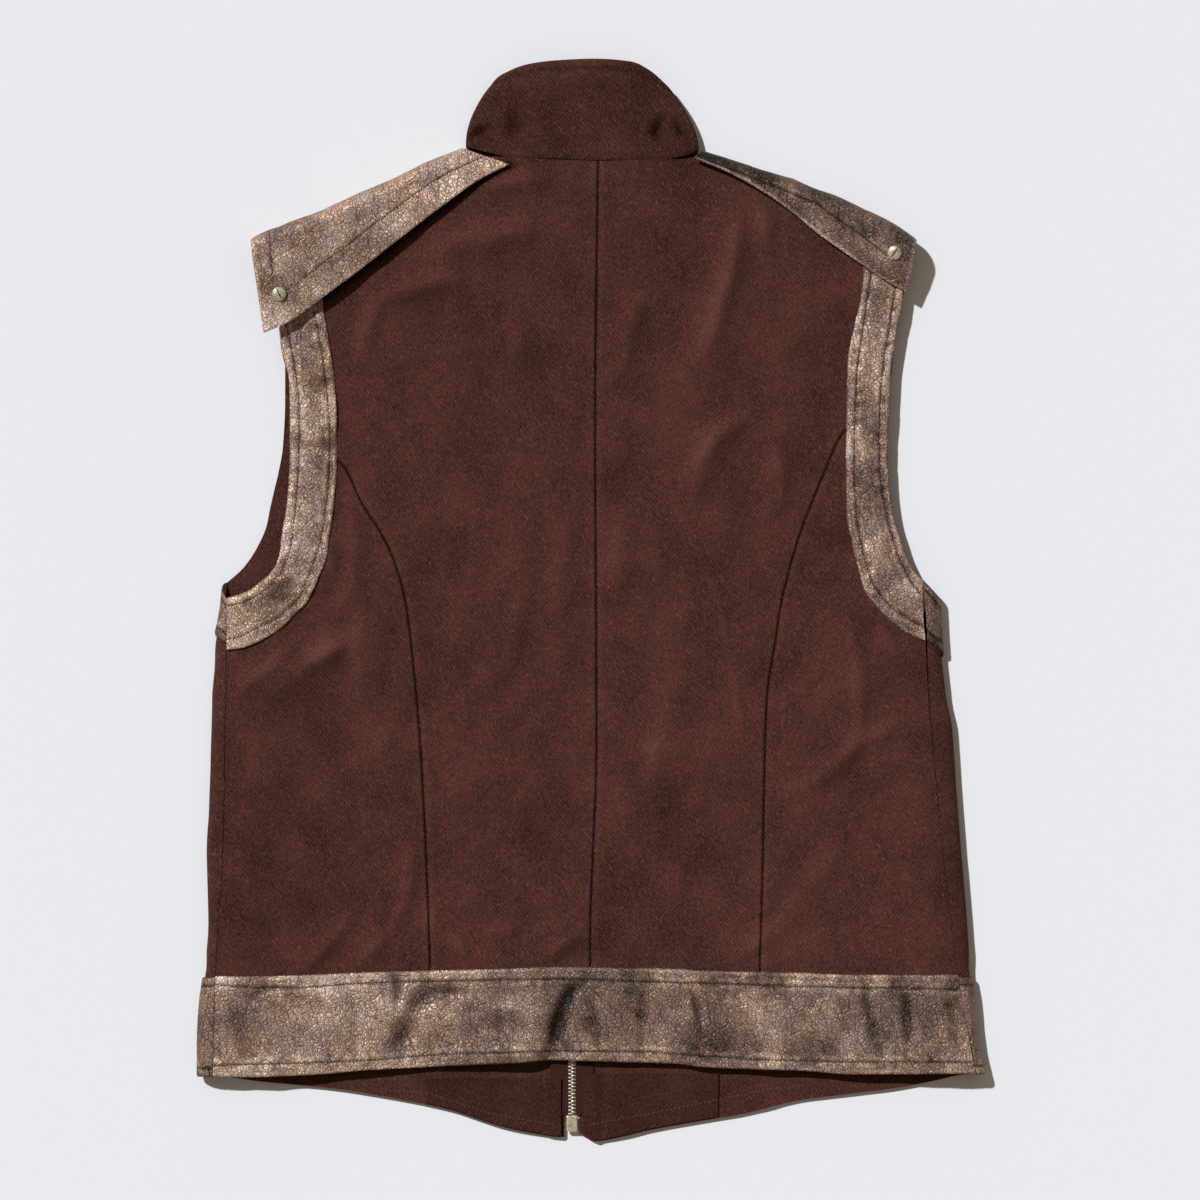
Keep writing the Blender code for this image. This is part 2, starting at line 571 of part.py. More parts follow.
def back_row(left, right, shares, sag=0.0):
    """Places in one row of a back panel, between its left and right ends."""
    x = mix(left[0], right[0], shares)
    y = mix(left[1], right[1], shares)
    y = y + back_hem_shift(x, y) - sag * 4 * shares * (1 - shares)
    return np.stack([x, y], axis=1)


def make_back_panel(name, rows):
    """Back panel from its rows of places."""
    rows = np.array(rows)
    top = back_top(rows[..., 0], rows[..., 1])
    outer = grid_of(rows[..., 0], rows[..., 1], top)
    inner = grid_of(rows[..., 0], rows[..., 1], top - TWILL)
    return cloth(name, outer, inner, "twill")


def faceted_height(trees, x, y):
    """Height of the highest face of some solids over each place, or the back's own height beside them."""
    found = back_top(x, y)
    for place in np.ndindex(found.shape):
        hits = [tree.ray_cast(Vector(((x[place] + dx) * MM, (y[place] + dy) * MM, 0.1)),
                              Vector((0, 0, -1)))[0]
                for tree in trees for dx, dy in ((0, 0), (2, 0), (-2, 0), (0, 2), (0, -2))]
        heights = [hit.z / MM for hit in hits if hit is not None]
        if heights:
            found[place] = max(heights)
    return found


SIDE_SHARES = np.linspace(0, 1, 9)
CENTRE_SHARES = np.linspace(0, 1, 10)
BACK_LOWER = LOWER_ROWS + [-36, -16]
BACK_ARMHOLE_ROWS = table("outer_y inner_y", (150, 148), (180, 172), (208, 192), (234, 208), (254, 222))
BACK_SHOULDER_ROWS = table("share inner_y sag",
                           (0.22, 238, 0), (0.46, 255, 0.1), (0.7, 274, 0.2), (0.88, 292, 0.3),
                           (1, 306.5, 0.4))
BACK_UPPER = {"left": [0.5, 7, 14, 24, 38, 54, 72, 90, 103, 109.5],
              "right": [0, 13, 20, 32, 46, 62, 80, 98, 114, 123, 128.5]}


def side_rows(side):
    """Rows of a side panel, from its outer edge to the princess seam."""
    half = SEAM / 2 * SIGN[side]
    rows = []
    for y in BACK_LOWER + BACK_UPPER[side]:
        inner_x = float(read(PRINCESS[side], "y", "x", y))
        rows.append(((float(back_edge(side, y)) - half * 3, y), (inner_x + half, y)))
    return rows


def centre_rows(side):
    """Rows of a centre panel, from its outer edge to the centre seam."""
    half = SEAM / 2 * SIGN[side]
    rows = []
    for y in BACK_LOWER + BACK_UPPER[side] + [PRINCESS_TOP[side]]:
        outer_x = float(read(PRINCESS[side], "y", "x", y))
        rows.append(((outer_x - half, y), (float(read(CENTRE_SEAM, "y", "x", y)) + half, y), 0.0))
    for outer_y, inner_y in zip(BACK_ARMHOLE_ROWS["outer_y"], BACK_ARMHOLE_ROWS["inner_y"]):
        rows.append(((float(back_edge(side, outer_y)) - half, outer_y),
                     (float(read(CENTRE_SEAM, "y", "x", inner_y)) + half, inner_y), 0.0))
    shoulder = rows[-1][0][0]
    for share, inner_y, sag in zip(*(BACK_SHOULDER_ROWS[name] for name in ("share", "inner_y", "sag"))):
        x = mix(shoulder, NECK_POINT[side][0], share)
        y = float(read(SHOULDER[side], "x", "y", x)) - SHOULDER_IN if share < 1 else NECK_POINT[side][1]
        rows.append(((x, y), (float(read(CENTRE_SEAM, "y", "x", inner_y)) + half, inner_y), sag))
    return rows


def make_back():
    """The four panels of the back, and the hem band that lies on them."""
    band_rows = []
    panels = {}
    for side in ("left", "right"):
        outer = [back_row(*ends, SIDE_SHARES) for ends in side_rows(side)]
        inner = [back_row(ends[0], ends[1], CENTRE_SHARES, ends[2]) for ends in centre_rows(side)]
        made = [make_back_panel("back_side_" + side, outer), make_back_panel("back_centre_" + side, inner)]
        graph = bpy.context.evaluated_depsgraph_get()
        make_back_armhole_band(side, [BVHTree.FromObject(panel, graph) for panel in made])
        panels[side] = (outer, inner)
    for index in range(sum(1 for y in BACK_LOWER if y <= BAND_TOP)):
        left = np.concatenate([panels["left"][0][index], panels["left"][1][index]])
        right = np.concatenate([panels["right"][0][index], panels["right"][1][index]])
        band_rows.append(np.concatenate([left, right[::-1]]))
    rows = np.array(band_rows)
    top = back_top(rows[..., 0], rows[..., 1])
    outer = grid_of(rows[..., 0], rows[..., 1], top + BAND_STEP)
    inner = grid_of(rows[..., 0], rows[..., 1], top + SEAM)
    cloth("hem_band_back", outer, inner, "leather")


def make_back_armhole_band(side, trees):
    """Leather band along the back armhole, lying on the panels that the trees hold."""
    fine = resample(BACK_BAND[side], 2)
    shares = np.linspace(0, 1, 5)
    x = mix(fine["outer_x"][:, None], fine["inner_x"][:, None], shares)
    y = mix(fine["outer_y"][:, None], fine["inner_y"][:, None], shares)
    seam = read(SIDE[side], "y", "seam", y[0]) - SIGN[side] * SEAM * 1.5
    x[0] = seam
    under = faceted_height(trees, x, y) + SEAM + 0.1
    return cloth("armhole_band_back_" + side, grid_of(x, y, under + LEATHER), grid_of(x, y, under), "leather")


# Shoulder flaps, collar and facings

LEAF_SHARES = (1.0, 0.72, 0.44, 0.16)
FOLD_ANGLES = (90, 50, 0, -50, -90)


def make_flap(side):
    """Leather that folds over the shoulder line, its back leaf on top and its front leaf underneath."""
    sections = resample(FLAPS[side], 2)
    count = len(sections["height"])
    outer = []
    for i in range(count):
        fold = np.array([sections["fold_x"][i], sections["fold_y"][i]])
        free = np.array([sections["free_x"][i], sections["free_y"][i]])
        leaf = np.linalg.norm(free - fold)
        direction = (free - fold) / leaf
        height, edge = sections["height"][i], sections["edge_height"][i]
        depth = min(9.0, 0.45 * leaf)
        section = []
        for share in LEAF_SHARES:
            section.append((depth + (leaf - depth) * share, mix(height, edge, share ** 1.3)))
        for angle in FOLD_ANGLES:
            turn = math.radians(angle)
            section.append((depth * (1 - math.cos(turn)), height / 2 * (1 + math.sin(turn))))
        front_leaf = mix(26.0, FLAP_FRONT_LEAF, min(1.0, i / (count * 0.45)))
        for share in (0.3, 0.65, 1.0):
            section.append((mix(depth, front_leaf, share), 0.0))
        front_direction = np.array([SIGN[side] * mix(0.12, -0.25, i / (count - 1)), -1.0])
        front_direction /= np.linalg.norm(front_direction)
        row = []
        for place, (distance, z) in enumerate(section):
            below = place > len(LEAF_SHARES) + 2
            way = front_direction if below and distance > depth else direction
            spot = fold + direction * min(distance, depth) + way * max(0.0, distance - depth)
            row.append((spot[0], spot[1], z))
        outer.append(row)
    outer = np.array(outer)
    inner = thicken(outer, FLAP, (0, 0, -1), 1)
    return outer, inner


def make_collar():
    """Stand collar, folded flat: from the zip round the left fold, the back and the right fold to the zip."""
    fine = resample(COLLAR_SECTIONS, 2)
    shares = np.linspace(0, 1, 6)
    low = grid_of(fine["low_x"], fine["low_y"], fine["low_z"])
    top = grid_of(fine["top_x"], fine["top_y"], fine["top_z"])
    middle = low[:, None, :] + (top - low)[:, None, :] * shares[None, :, None]
    middle[..., 0] += fine["bulge"][:, None] * 4 * shares * (1 - shares)
    half = thicken(middle, COLLAR / 2, (0, 0, 1), 1) - middle
    outer, inner = middle + half, middle - half
    for grid in (outer, inner):
        grid[..., 2] = np.maximum(grid[..., 2], 0.0)
    return cloth("collar", outer, inner, "twill")


def zip_tape_height(y):
    """Height of the under face of the zip tapes along the front."""
    hem = 1 - step(BAND_TOP + 2, BAND_TOP + 20, y)
    body = BAND_STEP * hem + TWILL + SEAM
    up = np.clip((np.asarray(y) - FRONT_NECK) / (COLLAR_TOP - FRONT_NECK), 0, 1)
    first = {name: values[0] for name, values in COLLAR_SECTIONS.items()}
    collar = COLLAR / 2 + SEAM + mix(first["low_z"], first["top_z"], up)
    return mix(body, collar, step(FRONT_NECK - 22, FRONT_NECK - 4, y))


ZIP_ROWS = np.array([ZIP_BOTTOM, -345, -325, -300, -278, -264, -255, -247, -238, -160, -60, 60, 160, 226,
                     233, 240, 248, 270, 290, 308.5])


def make_strip(name, x1, x2, rows, low, thickness, look):
    """Straight strip along the zip."""
    x = np.array([x1, (x1 + x2) / 2, x2])[None, :]
    y = rows[:, None]
    return cloth(name, grid_of(x, y, (low + thickness)[:, None]), grid_of(x, y, low[:, None]), look)


def make_zip():
    """Tapes, chain, box and slider."""
    tape = zip_tape_height(ZIP_ROWS)
    for side, sign in SIGN.items():
        inner_x, outer_x = ZIP_X + sign * TAPE_INNER, ZIP_X + sign * TAPE_OUTER
        make_strip("zip_tape_" + side, inner_x, outer_x, ZIP_ROWS, tape, TAPE, "tape")
    middle = tape + TAPE / 2 - CHAIN_THICK / 2
    make_strip("zip_chain", ZIP_X - CHAIN_HALF, ZIP_X + CHAIN_HALF, ZIP_ROWS, middle, CHAIN_THICK, "brass")
    low = float(middle[0])
    make_block("zip_box", (ZIP_X - BOX_HALF, BOX_BOTTOM, low),
               (ZIP_X + BOX_HALF, ZIP_BOTTOM - SEAM, low + BOX_THICK), 0.7)


def make_block(name, low, high, bevel):
    """Box with rounded edges between two corners."""
    bm = bmesh.new()
    bmesh.ops.create_cube(bm, size=1.0)
    for vert in bm.verts:
        vert.co = [mix(low[i], high[i], vert.co[i] + 0.5) for i in range(3)]
    bmesh.ops.bevel(bm, geom=list(bm.edges), offset=bevel, segments=2, affect='EDGES', profile=0.5)
    bmesh.ops.triangulate(bm, faces=list(bm.faces))
    return finish(name, bm, "brass")


FACING_ON_TAPE = 11.5
FACING_SLOPE = 4
FACING_FLAT_START = 18
FACING_HEM_GAP = 1.0
FACING_ROWS = (0.0, 0.35, 0.7, 1.0)


def make_facing(side, far_x, top_y):
    """Hem facing inside the front, from near the zip to its end seam."""
    sign = SIGN[side]
    tape_edge = TAPE_OUTER + 1.5
    slope_end = tape_edge + FACING_SLOPE
    far = abs(far_x - ZIP_X)
    flat = np.linspace(tape_edge + FACING_FLAT_START, far, 6)
    across = np.concatenate([[FACING_EDGE, FACING_ON_TAPE, tape_edge, slope_end], flat])
    over_tape = 1 - step(tape_edge, slope_end, across)
    rows = []
    for share in FACING_ROWS:
        x = ZIP_X + sign * across
        hem = HEM + front_hem_shift(x, np.full(len(x), HEM))
        y = mix(hem + FACING_HEM_GAP, top_y, share)
        z = BAND_STEP + TWILL + SEAM + (TAPE + SEAM) * over_tape
        rows.append(grid_of(x, y, z))
    lower = np.array(rows)
    upper = lower.copy()
    upper[..., 2] += FACING
    return cloth("hem_facing_" + side, upper, lower, "twill")


# Hard pieces

SLIDER_HALF = 4.4
ARCH_HALF = 1.0
ARCH_LOW = 0.35
ARCH_BAR = 1.0
SLIDER_LOW = 3.35
SLIDER_HIGH = 6.2
PIVOT_Y = 311.6
PIVOT_Z = 2.35
PULL_LENGTH = 26.0
PULL_HALF = 3.25
PULL_THICK = 1.2
WINDOW_HALF = 1.7
WINDOW_END = 6.2
PULL_REST = 3.0


def extrude_outline(name, outline, thickness, axis_x, look):
    """Prism of an outline given in Y and Z, or in X and Y, centred on its thickness."""
    bm = bmesh.new()
    half = thickness / 2
    ends = []
    for offset in (-half, half):
        if axis_x:
            ends.append([bm.verts.new((offset, a, b)) for a, b in outline])
        else:
            ends.append([bm.verts.new((a, b, offset)) for a, b in outline])
    for i in range(len(outline)):
        j = (i + 1) % len(outline)
        bm.faces.new((ends[0][i], ends[0][j], ends[1][j], ends[1][i]))
    bm.faces.new(ends[0])
    bm.faces.new(ends[1])
    bm.normal_update()
    bmesh.ops.triangulate(bm, faces=list(bm.faces))
    return finish(name, bm, look)


def unite(target, other):
    """Join another body to the target and keep the other as a hidden guide."""
    cut = target.modifiers.new("join", 'BOOLEAN')
    cut.operation = 'UNION'
    cut.object = other
    other.hide_render = True
    other.display_type = 'WIRE'


def subtract(target, other):
    """Cut another body out of the target and keep the other as a hidden guide."""
    cut = target.modifiers.new("cut", 'BOOLEAN')
    cut.operation = 'DIFFERENCE'
    cut.object = other
    other.hide_render = True
    other.display_type = 'WIRE'


def make_slider():
    """Slider body with the arch that holds the pull, on the outside of the front."""
    y1, y2 = SLIDER_BOTTOM, SLIDER_TOP
    half = SLIDER_HALF
    body = [(-half + 1.2, y1), (half - 1.2, y1), (half, y1 + 3), (half, y2 - 1.5), (half - 1.5, y2),
            (-half + 1.5, y2), (-half, y2 - 1.5), (-half, y1 + 3)]
    slider = extrude_outline("zip_slider", body, SLIDER_HIGH - SLIDER_LOW, False, "brass")
    slider.location = (ZIP_X * MM, 0, (SLIDER_HIGH + SLIDER_LOW) / 2 * MM)
    inside = ARCH_LOW + ARCH_BAR
    low_y, high_y = y1 + 0.4, y2 - 0.6
    arch_outline = [(low_y, SLIDER_LOW + 0.4), (low_y, ARCH_LOW + 0.5), (low_y + 0.5, ARCH_LOW),
                    (high_y - 0.5, ARCH_LOW), (high_y, ARCH_LOW + 0.5), (high_y, SLIDER_LOW + 0.4),
                    (high_y - 1.0, SLIDER_LOW + 0.4), (high_y - 1.0, inside), (low_y + 1.0, inside),
                    (low_y + 1.0, SLIDER_LOW + 0.4)]
    arch = extrude_outline("arch_guide", arch_outline, ARCH_HALF * 2, True, "brass")
    arch.location = (ZIP_X * MM, 0, 0)
    unite(slider, arch)
    return slider


def make_pull():
    """Pull tab, hung on the arch by its cross bar. Its origin is on the hinge axis."""
    long, half = PULL_LENGTH, PULL_HALF
    outline = [(-2.6, 0.6), (2.6, 0.6), (2.9, -WINDOW_END - 1), (half, -long + 6), (half, -long + 2),
               (half - 1.6, -long), (-half + 1.6, -long), (-half, -long + 2), (-half, -long + 6),
               (-2.9, -WINDOW_END - 1)]
    pull = extrude_outline("zip_pull", outline, PULL_THICK, False, "brass")
    window = [(-WINDOW_HALF, -0.6), (WINDOW_HALF, -0.6), (WINDOW_HALF, -WINDOW_END),
              (-WINDOW_HALF, -WINDOW_END)]
    guide = extrude_outline("window_guide", window, PULL_THICK * 3, False, "brass")
    guide.parent = pull
    subtract(pull, guide)
    pull.location = (ZIP_X * MM, PIVOT_Y * MM, PIVOT_Z * MM)
    pull.rotation_euler = (math.radians(PULL_REST), 0, 0)
    return pull


STUD_RADIUS = 5.1
STUD_TOP = 2.1
STUD_PROFILE = [(0, STUD_TOP), (2.6, 2.05), (4.2, 1.7), (4.9, 1.15), (STUD_RADIUS, 0.75), (STUD_RADIUS, 0.4),
                (1.9, 0.4), (1.9, -2.0), (4.0, -2.0), (4.0, -2.8), (0, -2.8)]
STUD_SIDES = 20
HOLE_RADIUS = 2.3
SLOT_WIDTH = 1.0
SLOT_DEPTH = 0.7


def make_stud(side, flap):
    """Slotted screw stud through the end of a shoulder flap, and the hole that it goes through."""
    tree = BVHTree.FromObject(flap, bpy.context.evaluated_depsgraph_get())
    x, y = STUD_AT[side]
    spots = [(x + dx, y + dy) for dx, dy in ((0, 0), (4, 0), (-4, 0), (0, 4), (0, -4))]
    hits = [tree.ray_cast(Vector((a * MM, b * MM, 0.1)), Vector((0, 0, -1))) for a, b in spots]
    normal = sum((hit[1] for hit in hits), Vector()).normalized()
    bm = bmesh.new()
    ring = [bm.verts.new((radius, 0, z)) for radius, z in STUD_PROFILE]
    edges = [bm.edges.new(pair) for pair in zip(ring[:-1], ring[1:])]
    bmesh.ops.spin(bm, geom=ring + edges, cent=(0, 0, 0), axis=(0, 0, 1), angle=2 * math.pi, steps=STUD_SIDES,
                   use_merge=True)
    bmesh.ops.remove_doubles(bm, verts=bm.verts, dist=0.01)
    bmesh.ops.triangulate(bm, faces=list(bm.faces))
    stud = finish("stud_" + side, bm, "brass")
    facing = Vector((0, 0, 1)).rotation_difference(normal)
    stud.rotation_mode = 'QUATERNION'
    stud.location = hits[0][0]
    stud.rotation_quaternion = facing
    bpy.context.view_layer.update()
    slot_low, slot_high = (-7, -SLOT_WIDTH / 2, STUD_TOP - SLOT_DEPTH), (7, SLOT_WIDTH / 2, STUD_TOP + 1.9)
    slot = make_block("slot_guide_" + side, slot_low, slot_high, 0.01)
    slot.parent = stud
    slot.rotation_euler = (0, 0, math.radians(STUD_SLOT[side]))
    subtract(stud, slot)
    bm = bmesh.new()
    bmesh.ops.create_cone(bm, cap_ends=True, segments=16, radius1=HOLE_RADIUS, radius2=HOLE_RADIUS, depth=8)
    bmesh.ops.triangulate(bm, faces=list(bm.faces))
    hole = finish("hole_guide_" + side, bm, "brass")
    hole.parent = stud
    subtract(flap, hole)
    return stud


def build():
    """The whole vest."""
    for item in list(bpy.data.objects):
        bpy.data.objects.remove(item, do_unlink=True)
    make_back()
    for side in ("left", "right"):
        front = make_front(side)
        graph = bpy.context.evaluated_depsgraph_get()
        make_front_hem_band(side)
        make_front_armhole_band(side, BVHTree.FromObject(front, graph))
        outer, inner = make_flap(side)
        flap = cloth("shoulder_flap_" + side, outer, inner, "leather")
        make_stud(side, flap)
    make_collar()
    make_zip()
    make_facing("left", -115.0, -334.5)
    make_facing("right", 89.0, -331.5)
    make_slider()
    make_pull()


build()
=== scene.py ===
"""Looks of the belted vest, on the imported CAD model.

Sizes are in millimetres until a mesh is made. X runs to the wearer's right, Y towards the collar and Z up
from the surface that the vest lies on, so its back is on top. Tables of photo places hold pixels.
"""
import math

import bpy
import numpy as np
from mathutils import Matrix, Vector
from mathutils.bvhtree import BVHTree


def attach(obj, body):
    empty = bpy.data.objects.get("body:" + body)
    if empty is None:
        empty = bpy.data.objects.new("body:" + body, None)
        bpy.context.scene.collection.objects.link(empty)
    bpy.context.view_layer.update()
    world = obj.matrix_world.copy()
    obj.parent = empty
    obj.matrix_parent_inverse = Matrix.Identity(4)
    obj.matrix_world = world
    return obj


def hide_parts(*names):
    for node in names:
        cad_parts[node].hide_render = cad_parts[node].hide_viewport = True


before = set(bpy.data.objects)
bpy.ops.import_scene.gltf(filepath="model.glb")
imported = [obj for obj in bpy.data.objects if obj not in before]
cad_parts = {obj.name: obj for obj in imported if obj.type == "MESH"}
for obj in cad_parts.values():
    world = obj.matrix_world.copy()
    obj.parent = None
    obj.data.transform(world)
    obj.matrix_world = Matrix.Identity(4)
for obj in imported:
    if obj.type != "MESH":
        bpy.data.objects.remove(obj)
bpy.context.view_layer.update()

MM = 0.001
BODY = "vest"

# Camera and light

PHOTO_SIDE = 1200
PIXEL = 0.70
PHOTO_MIDDLE = (591.0, 599.75)
LENS = 250.0
SENSOR = 36.0


def make_stage():
    """Camera over the vest, pale floor, one crisp light from the upper left and soft light all round."""
    field = PHOTO_SIDE * PIXEL * MM
    data = bpy.data.cameras.new("camera")
    data.lens = LENS
    data.sensor_width = SENSOR
    data.clip_start = 0.1
    data.clip_end = 60.0
    camera = bpy.data.objects.new("camera", data)
    middle = PHOTO_SIDE / 2
    camera.location = ((middle - PHOTO_MIDDLE[0]) * PIXEL * MM, (PHOTO_MIDDLE[1] - middle) * PIXEL * MM,
                       field * LENS / SENSOR)
    bpy.context.scene.collection.objects.link(camera)
    bpy.context.scene.camera = camera

    bpy.ops.mesh.primitive_plane_add(size=14.0, location=(0, 0, -0.0002))
    floor = bpy.context.object
    floor.name = "floor"
    material = bpy.data.materials.new("floor")
    material.use_nodes = True
    tree = material.node_tree
    shader = tree.nodes["Principled BSDF"]
    shader.inputs["Roughness"].default_value = 0.95
    shader.inputs["Specular IOR Level"].default_value = 0.1
    grain = tree.nodes.new("ShaderNodeTexNoise")
    grain.inputs["Scale"].default_value = 3.0
    ramp = tree.nodes.new("ShaderNodeValToRGB")
    ramp.color_ramp.elements[0].color = (0.790, 0.792, 0.812, 1)
    ramp.color_ramp.elements[1].color = (0.806, 0.808, 0.828, 1)
    tree.links.new(grain.outputs["Fac"], ramp.inputs["Fac"])
    tree.links.new(ramp.outputs["Color"], shader.inputs["Base Color"])
    floor.data.materials.append(material)

    sun = bpy.data.lights.new("key", "SUN")
    sun.energy = 3.92
    sun.angle = math.radians(2.4)
    sun.color = (0.905, 0.952, 1.0)
    lamp = bpy.data.objects.new("key", sun)
    lamp.rotation_euler = Vector((0.70, -0.70, -1.0)).to_track_quat("-Z", "Y").to_euler()
    bpy.context.scene.collection.objects.link(lamp)

    world = bpy.data.worlds.new("world")
    bpy.context.scene.world = world
    world.use_nodes = True
    background = world.node_tree.nodes["Background"]
    background.inputs["Color"].default_value = (1.0, 0.83, 0.68, 1)
    background.inputs["Strength"].default_value = 0.225
    bpy.context.scene.view_settings.view_transform = "Standard"
    bpy.context.scene.view_settings.look = "None"


make_stage()


# Walls, sizes and tables of the vest, as in the CAD

TWILL = 1.2
LEATHER = 1.4
FLAP = 1.6
COLLAR = 2.0
TAPE = 1.0
FACING = 1.0
SEAM = 0.3
BAND_STEP = LEATHER + SEAM
FLAP_LIFT = FLAP + SEAM + 0.6

# Main sizes of the vest
HEM = -331.5
BAND_TOP = -262.0
FRONT_NECK = 250.0
FRONT_ARMPIT = {"left": 12.0, "right": -8.0}
ARMHOLE_BAND = 34.0
ARC_LENGTH = 22.0

# The zip
ZIP_X = -13.3
FRONT_EDGE = 5.2
CHAIN_HALF = 2.45
TAPE_INNER = 2.8
TAPE_OUTER = 15.0
FACING_EDGE = 7.7
ZIP_BOTTOM = -360.5
COLLAR_TOP = 321.0

SIGN = {"left": -1.0, "right": 1.0}


def table(columns, *rows):
    """A table whose columns are read by name."""
    names = columns.split()
    return {name: np.array([row[i] for row in rows], float) for i, name in enumerate(names)}


def rows_of(values):
    """The rows of a table."""
    return zip(*values.values())


# Side folds: the outline, the side seam and the height of the roll between front and back
SIDE = {
    "left": table(
        "y outline seam height",
        (-331.5, -276, -264.5, 15), (-305, -276, -264, 13.6), (-277, -274.5, -263.4, 13),
        (-249, -270, -262, 12.2), (-228, -268.2, -261, 12), (-179, -269, -257.6, 12),
        (-144, -267.5, -256.6, 12), (-95, -266, -256, 12.4), (-35, -265, -255, 13.4),
        (0, -259.5, -255, 13), (12, -258.5, -254.6, 12)),
    "right": table(
        "y outline seam height",
        (-331.5, 276, 269, 16), (-305, 271, 264, 14.2), (-277, 269, 259, 13.2), (-249, 265, 255, 12.4),
        (-207, 262, 249.5, 12), (-165, 258.5, 245, 12), (-123, 255.5, 241, 12), (-95, 253.5, 238.5, 12.2),
        (-67, 250, 236, 12.6), (-35, 246.5, 234.5, 13), (-8, 245, 232, 13)),
}

# How far the top of the side fold lies along the vest from its foot, at the armpit
ARMPIT_SHIFT = {"left": -11.0, "right": 22.0}

# Armhole edge of the front, on the surface below
FRONT_ARMHOLE = {
    "left": table(
        "y x",
        (12, -254.6), (22, -243.5), (29, -238), (38.5, -232.5), (47.5, -228), (66.5, -224), (87.5, -219),
        (112, -215), (140, -214), (171, -214), (215, -213.4), (258, -212.5)),
    "right": table(
        "y x",
        (-8, 232), (0, 229), (10, 225.5), (20, 222), (35, 215.5), (56, 209), (80, 205.5), (105, 204.5),
        (133, 205.5), (157, 206.5), (182, 210), (215, 213), (258, 211.5)),
}

# Inner edge of the front armhole band, one row for each row of the edge that it follows
FRONT_BAND = {
    "left": table(
        "outer_x outer_y inner_x inner_y",
        (-254.6, 12, -254.6, -23), (-249, 16.5, -246, -23), (-243.5, 22, -234.5, -19),
        (-238, 29, -223, -11), (-232.5, 38.5, -212, 3), (-228, 47.5, -202, 22), (-224, 66.5, -193, 48),
        (-219, 87.5, -186, 76), (-215, 112, -181.5, 106), (-214, 140, -180, 137), (-214, 171, -180, 172),
        (-213.4, 205, -180, 211), (-212.9, 232, -183, 243), (-212.5, 254, -190, 263)),
    "right": table(
        "outer_x outer_y inner_x inner_y",
        (232, -8, 232, -43), (229, 0, 224, -41), (225.5, 10, 212, -30), (222, 20, 202, -12),
        (215.5, 35, 190, 8), (209, 56, 178, 38), (205.5, 80, 172, 72), (204.5, 105, 170.5, 104),
        (205.5, 133, 171.5, 135), (206.5, 157, 173, 162), (210, 182, 177, 190), (213, 215, 181, 223),
        (212.2, 238, 184, 248), (211.5, 254, 191, 264)),
}

# Armhole bands of the back: their outer and inner edges, from the side seam to the shoulder
BACK_BAND = {
    "left": table(
        "outer_x outer_y inner_x inner_y",
        (-254.8, 1, -254.8, -35), (-245.5, 4, -245.5, -34), (-238.5, 7, -235, -30.5),
        (-231.5, 12.5, -226, -26), (-226, 17, -217.5, -21), (-220.5, 24, -206.5, -10.5),
        (-217.5, 33, -197.5, 0), (-216.5, 42, -191, 14), (-215, 52, -185.5, 28), (-213, 63, -182.5, 45),
        (-211.5, 80, -179.5, 70), (-210.5, 105, -177.3, 104), (-210.5, 133, -178, 140),
        (-211, 154, -179.5, 157), (-214, 166, -181.5, 171), (-217, 180, -184, 186),
        (-217, 205, -187.5, 210), (-215.5, 235, -189, 243), (-213, 254, -192, 263)),
    "right": table(
        "outer_x outer_y inner_x inner_y",
        (231.8, 13.6, 234.5, -29), (226, 19.5, 222, -24), (222, 27, 208, -14), (218.5, 35, 199, -4.5),
        (215, 45.5, 191, 6), (212, 56, 187, 20), (210, 67, 182.5, 38.5), (208.5, 80.5, 178.5, 62),
        (207.5, 105, 178, 98), (208.5, 133, 178.5, 133), (209.5, 157.5, 179, 161),
        (213, 182, 182.5, 185.5), (217, 203, 188.5, 210), (218, 215, 190, 226), (216, 238, 190, 248),
        (213, 254, 192, 264)),
}

# Seams of the back
CENTRE_SEAM = table(
    "y x",
    (-331.5, -0.5), (-238, -0.5), (-175, 1.5), (-98, 4), (112, 3), (147.5, 3), (228, 4), (306.5, 5))
PRINCESS = {
    "left": table(
        "y x",
        (-331.5, -111.5), (-260.5, -112.5), (-210, -114), (-161, -116), (-98, -119.5), (-42, -124.5),
        (0, -130), (28, -138), (46, -146.5), (68, -160.5), (92, -172), (103, -183), (111.5, -209)),
    "right": table(
        "y x",
        (-331.5, 117), (-259, 118), (-210, 119.5), (-70, 123), (-32.5, 128.5), (0, 133.5), (16, 137.5),
        (36, 143), (50, 147.5), (70, 155.5), (92, 164.5), (120, 179), (130.5, 207)),
}
PRINCESS_TOP = {"left": 111.2, "right": 130.2}

# Hems of the back and the front
BACK_HEM = table(
    "x y",
    (-276, -332.5), (-245.5, -333.5), (-189.5, -331.5), (-161.5, -329), (-112.5, -326.5), (-56.5, -324),
    (-21.5, -322), (20.5, -323), (62.5, -324.5), (76.5, -326.5), (111.5, -328), (146.5, -329),
    (181.5, -331.5), (276, -330.8))
FRONT_HEM = table(
    "x y",
    (-276, -332.5), (-254, -334), (-231.5, -337), (-203.5, -339.5), (-175.5, -342.5), (-133.5, -349.5),
    (-98.5, -357), (-77.5, -364), (-63.5, -368.5), (-42.5, -373), (-20, -376), (-6, -373), (2, -379),
    (20.5, -376), (41.5, -371), (83.5, -363.5), (104.5, -360), (146.5, -350), (181.5, -345.5),
    (216.5, -341), (240, -336.5), (260, -332.2), (276, -331))

